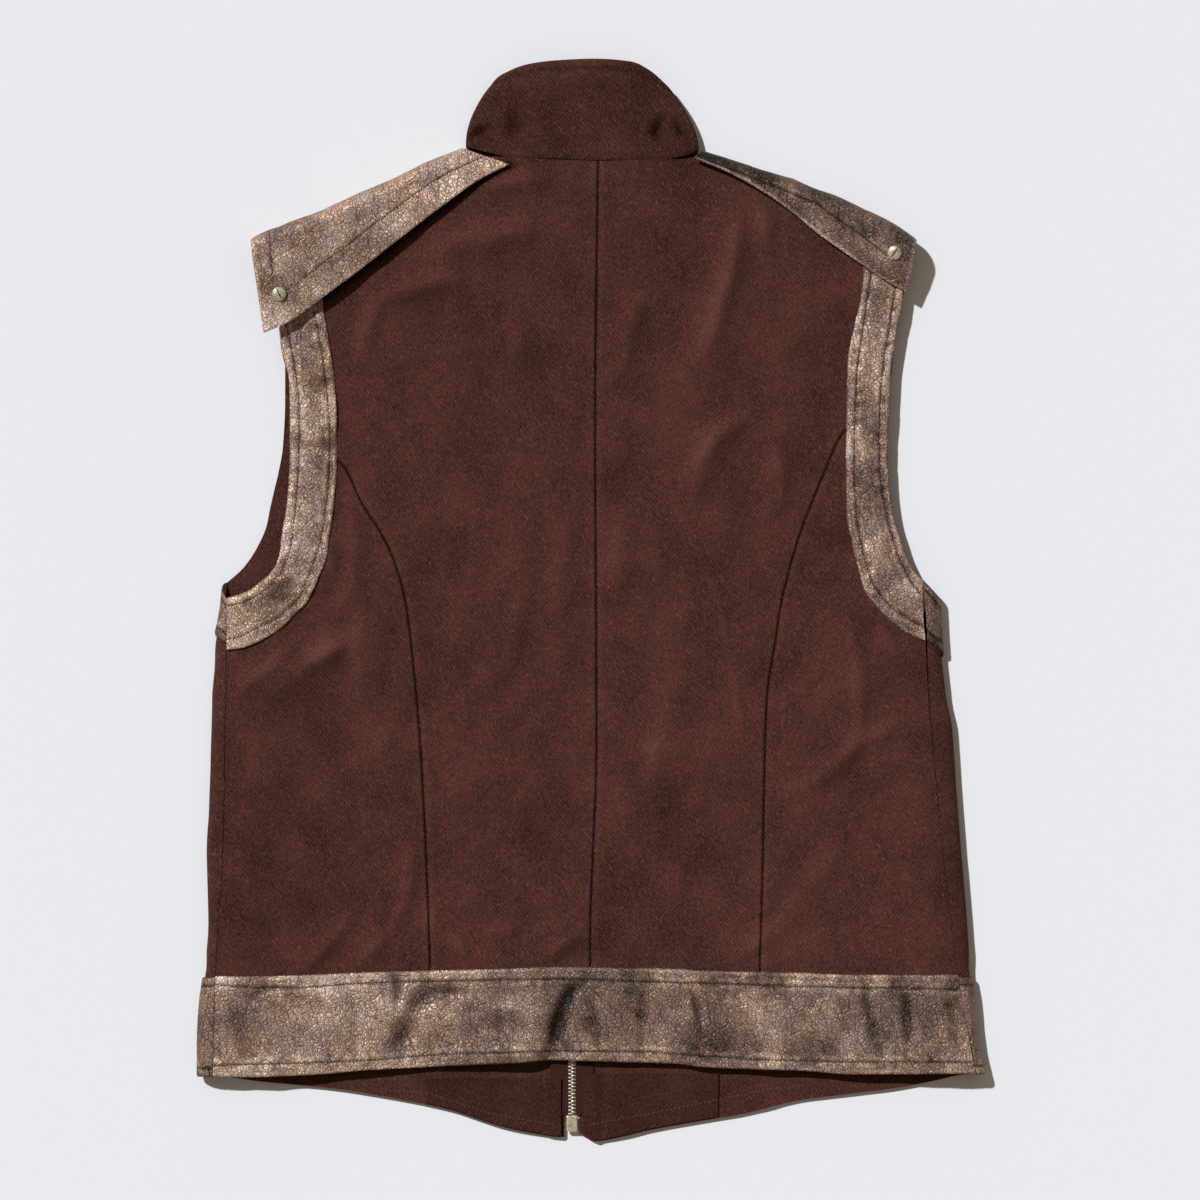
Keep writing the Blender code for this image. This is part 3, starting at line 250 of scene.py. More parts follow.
# Shoulder line, run on past the neck, and the height of the leather that folds over it
SHOULDER = {
    "left": table(
        "x y height",
        (-238, 253, 22), (-217.5, 261.5, 21), (-186, 273.5, 19), (-161.5, 284.5, 17), (-133.5, 296.5, 15),
        (-112.5, 307, 14), (-98.5, 312.5, 13.4), (-87.5, 317.5, 13), (-50, 365, 13)),
    "right": table(
        "x y height",
        (40, 362, 13), (77.5, 315, 13), (90.5, 310, 13.2), (118.5, 301, 14), (146.5, 292, 15.5),
        (174.5, 281, 18), (202.5, 268, 20.5), (214, 261.5, 21.5), (228.5, 252, 22)),
}
# Cosine of the shoulder's slope
SHOULDER_LEAN = 0.92
NECK_POINT = {"left": (-88.5, 311.0), "right": (76.0, 309.5)}

# Shoulder flaps from the neck to the cap: fold edge, free edge of the back leaf, height of that edge
FLAPS = {
    "left": table(
        "fold_x fold_y free_x free_y height edge_height",
        (-89.5, 315.5, -57, 304, 13, 14.6), (-112.5, 307, -77.5, 293.5, 14, 15),
        (-133.5, 296.5, -105.5, 273.5, 15.4, 15.4), (-161.5, 284.5, -133.5, 252, 17.2, 15.8),
        (-186, 273.5, -161.5, 230, 19, 16.2), (-205, 266.5, -185, 212.5, 20.4, 16.8),
        (-217.5, 261.5, -200.5, 201, 21.2, 17.2), (-229, 257, -213.5, 192.5, 21.8, 17.4),
        (-238, 252, -228.5, 186, 22, 17.4)),
    "right": table(
        "fold_x fold_y free_x free_y height edge_height",
        (79.5, 314, 71.5, 309, 13.4, 15), (104.5, 305.5, 97, 298, 14, 15.2),
        (132.5, 296.5, 123, 283, 15.4, 15.4), (153, 289.5, 142, 269, 17, 15.4),
        (174.5, 281, 160.5, 254, 18.4, 15.4), (193, 272.5, 181, 239.5, 20, 15.4),
        (205.5, 266.5, 195, 229.5, 21, 15.4), (217, 260, 207, 221.5, 21.6, 15.6),
        (228, 252, 220.5, 214.5, 22, 16)),
}
# Length of the leaf of the flaps that lies under the front
FLAP_FRONT_LEAF = 46.0

# Height of the upper face of the back twill along the middle and at the armholes, and how far in from each
# side it changes from the one to the other
MIDDLE = table(
    "y height",
    (-331.5, 8.2), (-262, 7.2), (-240, 6.5), (-205, 5.2), (0, 5.2), (150, 5.6), (215, 7.6), (262, 10.2),
    (290, 12), (317, 12.8))
ARMHOLE_HEIGHT = table(
    "y height",
    (0, 11.3), (14, 10.4), (40, 9.4), (180, 9.4), (225, 10), (262, 10.8))
SIDE_REACH = table(
    "y reach",
    (-331.5, 150), (-240, 85), (0, 70), (60, 55), (262, 55))

# Largest soft ridges of the back: both ends, half width and height
RIDGES = table(
    "x1 y1 x2 y2 half height",
    (-104, 246, -40, 258, 13, 2.6), (-152, 216, -100, 226, 12, 2.4), (98, 274, 84, 160, 14, 3.4),
    (30, 208, 10, 155, 11, 1.8), (96, 128, 70, 72, 13, 2.4), (126, 118, 130, 64, 11, 2),
    (-174, -30, -226, -66, 13, 3.2), (-150, 24, -150, -50, 11, 2.2), (176, -18, 180, -92, 13, 2.6),
    (180, -98, 146, -136, 14, 2.4), (-134, -184, -156, -250, 11, 2.6), (-178, -224, -200, -256, 10, 2),
    (-50, -252, -12, -230, 11, 2.4), (134, -178, 98, -256, 16, 2.2), (54, -60, 52, -100, 16, 1.8),
    (-44, 50, -60, -30, 12, 1.6))

# Collar from the zip round the neck and back to the zip: lower and upper edge of its middle surface, and how
# far its folds bulge sideways halfway up
COLLAR_SECTIONS = table(
    "low_x low_y low_z top_x top_y top_z bulge",
    (-18.6, 251.4, 1.2, -18.6, 321, 5.3, 0), (-51.2, 257.6, 1.2, -40, 326, 3.6, 0),
    (-73.2, 274, 1.6, -54, 338, 1.9, -1), (-83.8, 295.2, 3.2, -62, 353, 2.2, -4),
    (-86.6, 319, 7.4, -65, 363.5, 7, -5), (-76.5, 315.6, 10.6, -57, 369.5, 11.2, -4),
    (-53, 310, 11.9, -42.5, 374.5, 12.2, -1), (-28.5, 308.9, 12.2, -22, 377, 12.3, 0),
    (5, 307.6, 12.3, 3, 378, 12.4, 0), (35, 308.5, 12.2, 28, 376, 12.2, 0),
    (52, 309.8, 11.8, 38.5, 371.5, 12, 0.5), (65, 312.6, 10.6, 49, 363, 11, 2.5),
    (74.4, 317, 7.4, 53, 357, 7, 4), (71, 294.2, 3.2, 47, 345, 2.2, 3),
    (58.4, 273.6, 1.6, 35, 334, 1.9, 1), (31.8, 257.6, 1.2, 14, 326, 3.6, 0),
    (-8, 251.4, 1.2, -8, 321, 5.3, 0))


def step(low, high, value):
    """Smooth rise from 0 at low to 1 at high."""
    share = np.clip((np.asarray(value, float) - low) / (high - low), 0.0, 1.0)
    return share * share * (3.0 - 2.0 * share)


def bell(value, width, middle=0.0):
    """1 at the middle value, falling to 0 on both sides of it."""
    return np.exp(-((value - middle) / width) ** 2)


def mix(one, other, share):
    """Blend from one value to the other."""
    return one + (other - one) * share


def read(values, known, column, at):
    """Smooth value of a column of a table, where its known column has the given values."""
    xs, ys = values[known], values[column]
    at = np.clip(np.asarray(at, float), xs[0], xs[-1])
    rise = np.diff(ys) / np.diff(xs)
    slope = np.concatenate(([rise[0]], np.zeros(len(xs) - 2), [rise[-1]]))
    product = rise[:-1] * rise[1:]
    total = np.where(product > 0, rise[:-1] + rise[1:], 1.0)
    slope[1:-1] = np.where(product > 0, 2.0 * product / total, 0.0)
    i = np.clip(np.searchsorted(xs, at) - 1, 0, len(xs) - 2)
    width = xs[i + 1] - xs[i]
    t = (at - xs[i]) / width
    return ((1 + 2 * t) * (1 - t) ** 2 * ys[i] + t * (1 - t) ** 2 * width * slope[i]
            + t * t * (3 - 2 * t) * ys[i + 1] + t * t * (t - 1) * width * slope[i + 1])


def nearest(points, x, y):
    """Distance from places x, y to a line through points."""
    best = np.full(np.broadcast(x, y).shape, 1e9)
    for (x1, y1), (x2, y2) in zip(points[:-1], points[1:]):
        dx, dy = x2 - x1, y2 - y1
        share = np.clip(((x - x1) * dx + (y - y1) * dy) / (dx * dx + dy * dy), 0, 1)
        best = np.minimum(best, np.hypot(x - x1 - share * dx, y - y1 - share * dy))
    return best


def grid_of(x, y, z):
    """One array of points from three arrays of places."""
    x, y, z = np.broadcast_arrays(x, y, z)
    return np.stack([x, y, z], axis=-1)


def front_hem_shift(x, y):
    """How far the front's rows are moved along the vest, so that the lowest follows its hem."""
    return (read(FRONT_HEM, "x", "y", x) - HEM) * (1 - step(BAND_TOP, -60, y))


def armhole_line(side):
    """Edge of the front armhole in flat places, run on round the side fold."""
    edge = FRONT_ARMHOLE[side]
    first = (edge["x"][0] + SIGN[side] * 60, edge["y"][0])
    return [first] + list(zip(edge["x"], edge["y"]))


def from_shoulder(side, x, y):
    """Distance from the shoulder line, square to it."""
    return (read(SHOULDER[side], "x", "y", x) - y) * SHOULDER_LEAN


def under_flap(side, x, y):
    """1 where the front leaf of the shoulder flap lies under the front, falling to 0 beyond it."""
    return 1 - step(FLAP_FRONT_LEAF + 16, FLAP_FRONT_LEAF + 44, from_shoulder(side, x, y))


def front_inset(side, x, y):
    """Distance from the outermost surface to the twill: the bands and flaps that lie on it."""
    hem = 1 - step(BAND_TOP + 2, BAND_TOP + 20, y)
    armhole = 1 - step(ARMHOLE_BAND + 24, ARMHOLE_BAND + 46, nearest(armhole_line(side), x, y))
    return BAND_STEP * np.maximum(hem, armhole) + FLAP_LIFT * under_flap(side, x, y)


def flat_height(side, x, y, inset):
    """Height of the front where it isn't round its side fold: its inset, risen towards the shoulder seam."""
    middle = read(SHOULDER[side], "x", "height", x) / 2 - SEAM / 2 - TWILL
    rise = 1 - step(5, 38, from_shoulder(side, x, y))
    return mix(inset, np.maximum(middle, inset), rise)


def front_point(side, across, y, inset):
    """Points of the front. across is the distance from the zip along the cloth, inset is measured inwards
    from the outermost surface."""
    sign = SIGN[side]
    across, y, inset = np.broadcast_arrays(np.asarray(across, float), np.asarray(y, float), inset)
    fold = SIDE[side]
    seam = read(fold, "y", "seam", y)
    outline = read(fold, "y", "outline", y)
    height = read(fold, "y", "height", y)
    to_fold = np.abs(seam - ZIP_X)
    turn = np.clip((across - to_fold) / ARC_LENGTH, 0, 1)
    angle = math.pi * turn - math.pi / 2
    round_fold = across > to_fold
    flat_x = ZIP_X + sign * across
    width = np.abs(outline - seam)
    fold_x = seam + sign * (width - inset) * np.cos(angle)
    fold_z = height / 2 + (height / 2 - inset) * np.sin(angle)
    x = np.where(round_fold, fold_x, flat_x)
    shift = ARMPIT_SHIFT[side] * turn ** 2 * step(-90, FRONT_ARMPIT[side], y)
    placed_y = y + shift + front_hem_shift(np.where(round_fold, seam, flat_x), y)
    return grid_of(x, placed_y, np.where(round_fold, fold_z, flat_height(side, x, y, inset)))


# Rows of the front and back below the armpit
LOWER_ROWS = [-331.5, -313, -295, -278, BAND_TOP, -246, -224, -196, -166, -134, -104, -78, -58]
# Rows of the front above the armpit. The ARMHOLE_ROWS run level and end on the armhole edge. The UPPER_ROWS
# start lower at the zip, and the SHOULDER_ROWS end on the shoulder and bend round the neck.
ARMHOLE_ROWS = (10, 22, 36, 52, 75, 105, 140, 171)
# Least distance of these rows from the armpit
ARMHOLE_CLEAR = 7.0
UPPER_ROWS = table(
    "end_y start_y bend",
    (205, 184, 0), (232, 198, 0.1), (256, 209, 0.2))
SHOULDER_ROWS = table(
    "share start_y bend",
    (0.2, 217, 0.3), (0.42, 226, 0.45), (0.64, 234, 0.62), (0.84, 242, 0.82))
# How far inside the shoulder line the twill ends
SHOULDER_IN = 4.5


def bent_line(start, bend, end, shares):
    """Quadratic curve from start to end, drawn towards bend."""
    shares = np.asarray(shares)[:, None]
    start, bend, end = (np.asarray(place, float) for place in (start, bend, end))
    return start * (1 - shares) ** 2 + bend * 2 * shares * (1 - shares) + end * shares ** 2


def back_edge(side, y):
    """Where the back ends at the side: its side seam, or its armhole edge above that."""
    band = BACK_BAND[side]
    seam = read(SIDE[side], "y", "seam", y)
    order = {"y": band["outer_y"], "x": band["outer_x"]}
    armhole = read(order, "y", "x", y)
    return np.where(np.asarray(y) > band["outer_y"][0], armhole, seam)


def edge_height(side, y):
    """Height of the back twill where it ends at the side."""
    top = read(SIDE[side], "y", "height", y)
    seam = read(SIDE[side], "y", "seam", y) + SIGN[side] * ARC_LENGTH
    below = top - front_inset(side, seam, np.minimum(y, FRONT_ARMPIT[side]))
    return mix(below, read(ARMHOLE_HEIGHT, "y", "height", y), step(-6, 14, y))


def back_top(x, y):
    """Height of the upper face of the back twill."""
    x, y = np.broadcast_arrays(np.asarray(x, float), np.asarray(y, float))
    height = read(MIDDLE, "y", "height", y)
    calm = np.ones(x.shape)
    reach = read(SIDE_REACH, "y", "reach", y)
    raised = height
    for side, sign in SIGN.items():
        inside = (back_edge(side, y) - x) * sign
        share = 1 - step(0, 1, inside / reach)
        raised = raised + (edge_height(side, y) - height) * share
        up = step(-50, -20, y)
        calm = calm * step(mix(3, 34, up), mix(24, 56, up), inside)
    for x1, y1, x2, y2, half, rise in rows_of(RIDGES):
        length = math.hypot(x2 - x1, y2 - y1)
        along = ((x - x1) * (x2 - x1) + (y - y1) * (y2 - y1)) / length
        off = ((y - y1) * (x2 - x1) - (x - x1) * (y2 - y1)) / length
        ends = step(-half, half * 0.8, along) * (1 - step(length - half * 0.8, length + half, along))
        raised = raised + rise * calm * ends * bell(off, half)
    for side in SIGN:
        line = SHOULDER[side]
        beyond = (x - line["x"][-1 if side == "left" else 0]) * SIGN[side] < 0
        share = np.where(beyond, 0.0, 1 - step(5, 36, from_shoulder(side, x, y)))
        seam = read(line, "x", "height", x) / 2 + SEAM / 2 + TWILL
        raised = mix(raised, seam, share)
    return raised


def back_hem_shift(x, y):
    """How far the back's rows are moved along the vest, so that the lowest follows its hem."""
    return (read(BACK_HEM, "x", "y", x) - HEM) * (1 - step(HEM, -180, y))


BACK_LOWER = LOWER_ROWS + [-36, -16]
BACK_ARMHOLE_ROWS = table(
    "outer_y inner_y",
    (150, 148), (180, 172), (208, 192), (234, 208), (254, 222))
BACK_SHOULDER_ROWS = table(
    "share inner_y sag",
    (0.22, 238, 0), (0.46, 255, 0.1), (0.7, 274, 0.2), (0.88, 292, 0.3), (1, 306.5, 0.4))
BACK_UPPER = {"left": [0.5, 7, 14, 24, 38, 54, 72, 90, 103, 109.5],
              "right": [0, 13, 20, 32, 46, 62, 80, 98, 114, 123, 128.5]}


def side_rows(side):
    """Rows of a side panel, from its outer edge to the princess seam."""
    half = SEAM / 2 * SIGN[side]
    return [(back_edge(side, y) - half * 3, y, read(PRINCESS[side], "y", "x", y) + half, y, 0.0)
            for y in BACK_LOWER + BACK_UPPER[side]]


def centre_rows(side):
    """Rows of a centre panel, from its outer edge to the centre seam."""
    half = SEAM / 2 * SIGN[side]
    rows = [(read(PRINCESS[side], "y", "x", y) - half, y, y, 0.0)
            for y in BACK_LOWER + BACK_UPPER[side] + [PRINCESS_TOP[side]]]
    rows += [(back_edge(side, outer_y) - half, outer_y, inner_y, 0.0)
             for outer_y, inner_y in rows_of(BACK_ARMHOLE_ROWS)]
    shoulder = rows[-1][0]
    for share, inner_y, sag in rows_of(BACK_SHOULDER_ROWS):
        x = mix(shoulder, NECK_POINT[side][0], share)
        y = read(SHOULDER[side], "x", "y", x) - SHOULDER_IN if share < 1 else NECK_POINT[side][1]
        rows.append((x, y, inner_y, sag))
    return [(x, y, read(CENTRE_SEAM, "y", "x", inner_y) + half, inner_y, sag) for x, y, inner_y, sag in rows]


def zip_tape_height(y):
    """Height of the under face of the zip tapes along the front."""
    hem = 1 - step(BAND_TOP + 2, BAND_TOP + 20, y)
    body = BAND_STEP * hem + TWILL + SEAM
    up = np.clip((np.asarray(y) - FRONT_NECK) / (COLLAR_TOP - FRONT_NECK), 0, 1)
    first = {name: values[0] for name, values in COLLAR_SECTIONS.items()}
    collar = COLLAR / 2 + SEAM + mix(first["low_z"], first["top_z"], up)
    return mix(body, collar, step(FRONT_NECK - 22, FRONT_NECK - 4, y))


# Tools for shells, folds and stitches

def photo(points):
    """Places in the photo, in pixels, as places on the surface."""
    x, y = np.moveaxis(np.asarray(points, float), -1, 0)
    return np.stack([(x - PHOTO_MIDDLE[0]) * PIXEL, (PHOTO_MIDDLE[1] - y) * PIXEL], -1)


def noise(x, y, size, seed, stretch=1.0):
    """Smooth uneven value from -1 to 1 that changes over about size, and over stretch times that along y."""
    values = np.random.default_rng(seed).uniform(-1, 1, (97, 97))
    u, v = np.asarray(x, float) / size + 500.37, np.asarray(y, float) / (size * stretch) + 500.71
    i, j = np.floor(u).astype(int), np.floor(v).astype(int)
    a, b = u - i, v - j
    a, b = a * a * (3 - 2 * a), b * b * (3 - 2 * b)
    i, j = i % 96, j % 96
    low = mix(values[i, j], values[i + 1, j], a)
    high = mix(values[i, j + 1], values[i + 1, j + 1], a)
    return mix(low, high, b)


def closer(values, spacing):
    """Rows of a table and smooth rows between them, no further apart than spacing."""
    names = list(values)
    rows = np.stack([values[name] for name in names], axis=1)
    at = [0.0]
    for i, gap in enumerate(np.linalg.norm(np.diff(rows, axis=0), axis=1)):
        count = max(1, math.ceil(gap / spacing))
        at.extend(i + (k + 1) / count for k in range(count))
    numbered = dict(values)
    numbered["row"] = np.arange(len(rows), dtype=float)
    return {name: read(numbered, "row", name, at) for name in names}


def run_along(points):
    """Distance of each point of a line, or of each row of a grid, from its start."""
    run = np.cumsum(np.linalg.norm(np.diff(points, axis=-2), axis=-1), axis=-1)
    return np.concatenate([np.zeros(run.shape[:-1] + (1,)), run], axis=-1)


def distance_across(grid):
    """Distance of each point from the nearer end of its row."""
    run = run_along(grid)
    return np.minimum(run, run[:, -1:] - run)


def spaced(low, high, spacing):
    """Shares from 0 to 1 for a row from low to high with that spacing."""
    return np.linspace(0, 1, max(2, math.ceil(abs(high - low) / spacing) + 1))


def normals_of(grid):
    """Unit normals of a grid of points."""
    normal = np.cross(np.gradient(grid, axis=0), np.gradient(grid, axis=1))
    return normal / np.maximum(np.linalg.norm(normal, axis=2, keepdims=True), 1e-9)


def facing(outer, inner):
    """Unit normals of the outer grid, pointing away from the inner one."""
    normal = normals_of(outer)
    return -normal if np.sum(normal * (outer - inner)) < 0 else normal


def wall(node, outer, inner, look, present=None, shade=0.5):
    """Closed thin shell between two grids of points, in place of a CAD node. shade is from 0 to 1 at each
    point, 0 the darkest, and holds its tone and any painted light and shade."""
    rows, columns = outer.shape[:2]
    if present is None:
        present = np.ones((rows - 1, columns - 1), bool)
    shade = np.clip(np.broadcast_to(shade, (rows, columns)), 0, 1).ravel()
    total = rows * columns
    index = np.arange(total).reshape(rows, columns)
    quads = np.stack([index[:-1, :-1], index[:-1, 1:], index[1:, 1:], index[1:, :-1]], -1)[present]
    points = np.concatenate([outer.reshape(-1, 3), inner.reshape(-1, 3)])
    first = points[quads]
    out = points[:total] - points[total:]
    turned = np.cross(first[:, 1] - first[:, 0], first[:, 3] - first[:, 0])
    if np.sum(turned * out[quads[:, 0]]) < 0:
        quads = quads[:, ::-1]
    edges = np.concatenate([quads[:, [k, (k + 1) % 4]] for k in range(4)])
    border = edges[~np.isin(edges[:, 0] * total + edges[:, 1], edges[:, 1] * total + edges[:, 0])]
    sides = np.stack([border[:, 1], border[:, 0], border[:, 0] + total, border[:, 1] + total], -1)
    faces = np.concatenate([quads, quads[:, ::-1] + total, sides])
    used, faces = np.unique(faces, return_inverse=True)
    name = f"{node}_{'leather' if look == 'leather' else 'cloth'}"
    made = make_piece(name, points[used], faces.reshape(-1, 4), look, np.tile(shade, 2)[used])
    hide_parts(node)
    return made


def make_piece(name, points, faces, look, shades=None):
    """Object of the vest from points in millimetres."""
    mesh = bpy.data.meshes.new(name)
    mesh.from_pydata((points * MM).tolist(), [], faces.tolist())
    mesh.shade_smooth()
    mesh.set_sharp_from_angle(angle=math.radians(50))
    if shades is not None:
        layer = mesh.attributes.new("shade", "FLOAT", "POINT")
        layer.data.foreach_set("value", np.asarray(shades, np.float32))
    mesh.materials.append(LOOK[look])
    made = bpy.data.objects.new(name, mesh)
    bpy.context.scene.collection.objects.link(made)
    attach(made, BODY)
    return made


def fold_height(folds, x, y):
    """Height of the soft folds of a table at places x, y. Each bends from its first place by its second to
    its third. The places follow the dark strip that the photo shows, the side turned from the light."""
    x, y = np.broadcast_arrays(x, y)
    raised = np.zeros(x.shape)
    for x1, y1, x2, y2, x3, y3, half, rise in rows_of(folds):
        line = photo([(x1, y1), (x2, y2), (x3, y3)])
        bend = 2 * line[1] - (line[0] + line[2]) / 2
        aside = half * 0.42 * math.copysign(1.0, rise)
        curve = bent_line(line[0], bend, line[2], np.linspace(0, 1, 7)) + (-aside, aside)
        near = (np.abs(x - curve[:, 0].mean()) < 260) & (np.abs(y - curve[:, 1].mean()) < 260)
        if not near.any():
            continue
        px, py = x[near], y[near]
        best = np.full(px.shape, 1e9)
        share = np.zeros(px.shape)
        for k, ((ax, ay), (bx, by)) in enumerate(zip(curve[:-1], curve[1:])):
            dx, dy = bx - ax, by - ay
            along = ((px - ax) * dx + (py - ay) * dy) / (dx * dx + dy * dy)
            held = np.clip(along, 0, 1)
            distance = np.hypot(px - ax - held * dx, py - ay - held * dy)
            closest = distance < best
            best = np.where(closest, distance, best)
            share = np.where(closest, (k + held) / 6, share)
        swell = 0.25 + 0.75 * np.sin(math.pi * np.clip(share, 0.02, 0.98)) ** 0.7
        swell = swell * (1 + 0.25 * noise(px, py, 17, 5))
        raised[near] += rise * swell * bell(best, half * (0.8 + 0.4 * swell))
    return raised


def sew(name, line, normals, slot="leather", look="thread", pitch=2.6, length=1.9, width=0.34):
    """Row of separate stitches along a line that has normals."""
    line, normals = np.asarray(line, float), np.asarray(normals, float)
    run = run_along(line)
    count = max(1, int(run[-1] / pitch))
    uneven = np.random.default_rng(count).uniform(-1, 1, (count, 3))
    middles = (np.arange(count) + 0.5) * run[-1] / count + uneven[:, 0] * 0.18
    rings = np.array([-1.0, -0.72, 0.0, 0.72, 1.0])
    swell = np.array([0.12, 0.85, 1.0, 0.85, 0.12])
    sides = 6
    spots = middles[:, None] + rings[None, :] * (length / 2 + 0.12 * uneven[:, 1:2])
    place = np.stack([np.interp(spots, run, line[:, k]) for k in range(3)], -1)
    normal = np.stack([np.interp(spots, run, normals[:, k]) for k in range(3)], -1)
    normal /= np.linalg.norm(normal, axis=-1, keepdims=True)
    ahead = np.gradient(place, axis=1)
    ahead /= np.linalg.norm(ahead, axis=-1, keepdims=True)
    across = np.cross(ahead, normal)
    place = place + across * (uneven[:, 2] * 0.1)[:, None, None]
    place = place + normal * ((1 - rings ** 2) * width * 0.9 - 0.10)[None, :, None]
    turn = np.arange(sides) * 2 * math.pi / sides
    ring = (across[:, :, None, :] * np.cos(turn)[None, None, :, None]
            + normal[:, :, None, :] * 0.75 * np.sin(turn)[None, None, :, None])
    points = place[:, :, None, :] + ring * (swell * width)[None, :, None, None]
    index = np.arange(count * 5 * sides).reshape(count, 5, sides)
    after = np.roll(index, -1, axis=2)
    tubes = np.stack([index[:, :-1], after[:, :-1], after[:, 1:], index[:, 1:]], -1).reshape(-1, 4)
    halves = []
    for end, order in ((0, (0, 5, 4, 3)), (0, (3, 2, 1, 0)), (4, (0, 1, 2, 3)), (4, (3, 4, 5, 0))):
        halves.append(index[:, end][:, list(order)])
    faces = np.concatenate([tubes] + halves)
    return make_piece(name, points.reshape(-1, 3), faces[:, ::-1], look)


def sew_on(row, pieces, **choices):
    """Stitches along a row of STITCH_LINES, laid on the highest of some pieces."""
    graph = bpy.context.evaluated_depsgraph_get()
    trees = [BVHTree.FromObject(piece, graph) for piece in pieces]
    spots, normals = [], []
    for x, y in rows_of(closer(dict(zip("xy", STITCH_LINES[row].T)), 1.2)):
        hits = [tree.ray_cast(Vector((x * MM, y * MM, 0.2)), Vector((0, 0, -1))) for tree in trees]
        hits = [hit for hit in hits if hit[0] is not None]
        if hits:
            highest = max(hits, key=lambda hit: hit[0].z)
            spots.append([value / MM for value in highest[0]])
            normals.append(list(highest[1]))
    return sew("stitches_" + row, spots, normals, **choices)


def sew_edges(names, outer, inner, kept):
    """Stitches along both ends of the rows of a wall, on the rows that are kept."""
    normal = facing(outer, inner)
    threads = []
    for name, way in zip(names, (1, -1)):
        grid, normals = outer[kept, ::way], normal[kept, ::way]
        runs = run_along(grid)
        line, out = ([[np.interp(STITCH_IN, run, column) for column in row.T]
                      for run, row in zip(runs, found)] for found in (grid, normals))
        threads.append(sew(name, line, out))
    return threads


# Materials

def start_material(name):
    """A new node material and the tools to fill it: its tree, its shader and its place in metres."""
    material = bpy.data.materials.new(name)
    material.use_nodes = True
    tree = material.node_tree
    place = tree.nodes.new("ShaderNodeTexCoord").outputs["Object"]
    return material, tree, tree.nodes["Principled BSDF"], place


def add(tree, kind, inputs=None, **settings):
    """A node with its settings. Inputs are values or the outputs of other nodes."""
    node = tree.nodes.new("ShaderNode" + kind)
    for name, value in settings.items():
        setattr(node, name, value)
    for name, value in (inputs or {}).items():
        if isinstance(value, bpy.types.NodeSocket):
            tree.links.new(value, node.inputs[name])
        else:
            node.inputs[name].default_value = value
    return node


def ramp_of(tree, fac, *stops):
    """Ramp through stops of a place and a colour or a grey."""
    node = add(tree, "ValToRGB", {"Fac": fac})
    ramp = node.color_ramp
    while len(ramp.elements) < len(stops):
        ramp.elements.new(0.5)
    for element, (place, colour) in zip(ramp.elements, stops):
        element.position = place
        element.color = (*np.broadcast_to(colour, 3), 1)
    return node.outputs["Color"]


def weighted(tree, *parts):
    """Sum of values, each times its weight."""
    total = None
    for value, weight in parts:
        part = add(tree, "Math", {0: value, 1: weight}, operation="MULTIPLY").outputs[0]
        total = part if total is None else add(tree, "Math", {0: total, 1: part}, operation="ADD").outputs[0]
    return total


def turned(tree, place, degrees, stretch=(1, 1, 1)):
    """Places turned about Z, then stretched."""
    mapping = add(tree, "Mapping", {"Vector": place}, vector_type="TEXTURE")
    mapping.inputs["Rotation"].default_value = (0, 0, -math.radians(degrees))
    mapping.inputs["Scale"].default_value = [1 / value for value in stretch]
    return mapping.outputs["Vector"]


def noise_of(tree, place, scale, detail=2.0, roughness=0.5, distortion=0.0):
    """Noise texture's value."""
    node = add(tree, "TexNoise", {"Vector": place, "Scale": scale, "Detail": detail, "Roughness": roughness,
                                  "Distortion": distortion})
    return node.outputs["Fac"]


def wave_of(tree, place, scale, distortion, **inputs):
    """Value of a wave texture across X."""
    inputs = {"Vector": place, "Scale": scale, "Distortion": distortion, **inputs}
    return add(tree, "TexWave", inputs, bands_direction="X").outputs["Fac"]


def cracks_of(tree, place, scale, width):
    """0 on the borders of cells and 1 inside them."""
    cells = add(tree, "TexVoronoi", {"Vector": place, "Scale": scale}, feature="DISTANCE_TO_EDGE")
    return ramp_of(tree, cells.outputs["Distance"], (0.0, 0.0), (width, 1.0))


def finish(tree, shader, colour, roughness, specular, height, relief, strength=1.0):
    """Set a shader's colour, its roughness from a number or a node, its shine, and its bumps in metres."""
    tree.links.new(colour, shader.inputs["Base Color"])
    if isinstance(roughness, float):
        shader.inputs["Roughness"].default_value = roughness
    else:
        tree.links.new(roughness, shader.inputs["Roughness"])
    shader.inputs["Specular IOR Level"].default_value = specular
    bump = add(tree, "Bump", {"Height": height, "Distance": relief, "Strength": strength})
    tree.links.new(bump.outputs["Normal"], shader.inputs["Normal"])


# Distance between the ribs of the twill
TWILL_PITCH = 1.6


def twill_material(name, dark, light, lean, relief):
    """Cotton twill: steep diagonal ribs of uneven yarn with pale flecks, and faded and darker patches."""
    material, tree, shader, place = start_material(name)
    along = turned(tree, place, lean, (1, 0.5, 1))
    ribs = wave_of(tree, turned(tree, place, lean), 0.3142 / TWILL_PITCH / MM, 1.6,
                   **{"Detail": 2.0, "Detail Scale": 1.2})
    yarn = noise_of(tree, along, 900.0, 2.0, 0.6)
    fleck = ramp_of(tree, noise_of(tree, along, 640.0, 1.0), (0.60, 0.0), (0.74, 1.0))
    fleck = add(tree, "Math", {0: fleck, 1: ribs}, operation="MULTIPLY").outputs[0]
    patches = noise_of(tree, place, 26.0, 6.0, 0.62)
    # The shade attribute holds dark seams, tone and painted light and shade
    shade = add(tree, "Attribute", attribute_name="shade").outputs["Fac"]
    tone = weighted(tree, (ribs, 0.40), (yarn, 1.30), (fleck, 0.75), (patches, 0.76), (shade, 1.20))
    fac = add(tree, "MapRange", {"Value": tone, "From Min": 1.44, "From Max": 2.72}).outputs["Result"]
    shader.inputs["Sheen Weight"].default_value = 0.04
    height = weighted(tree, (ribs, 1.0), (yarn, 0.8))
    finish(tree, shader, ramp_of(tree, fac, (0.0, dark), (1.0, light)), 0.9, 0.08, height, relief)
    return material


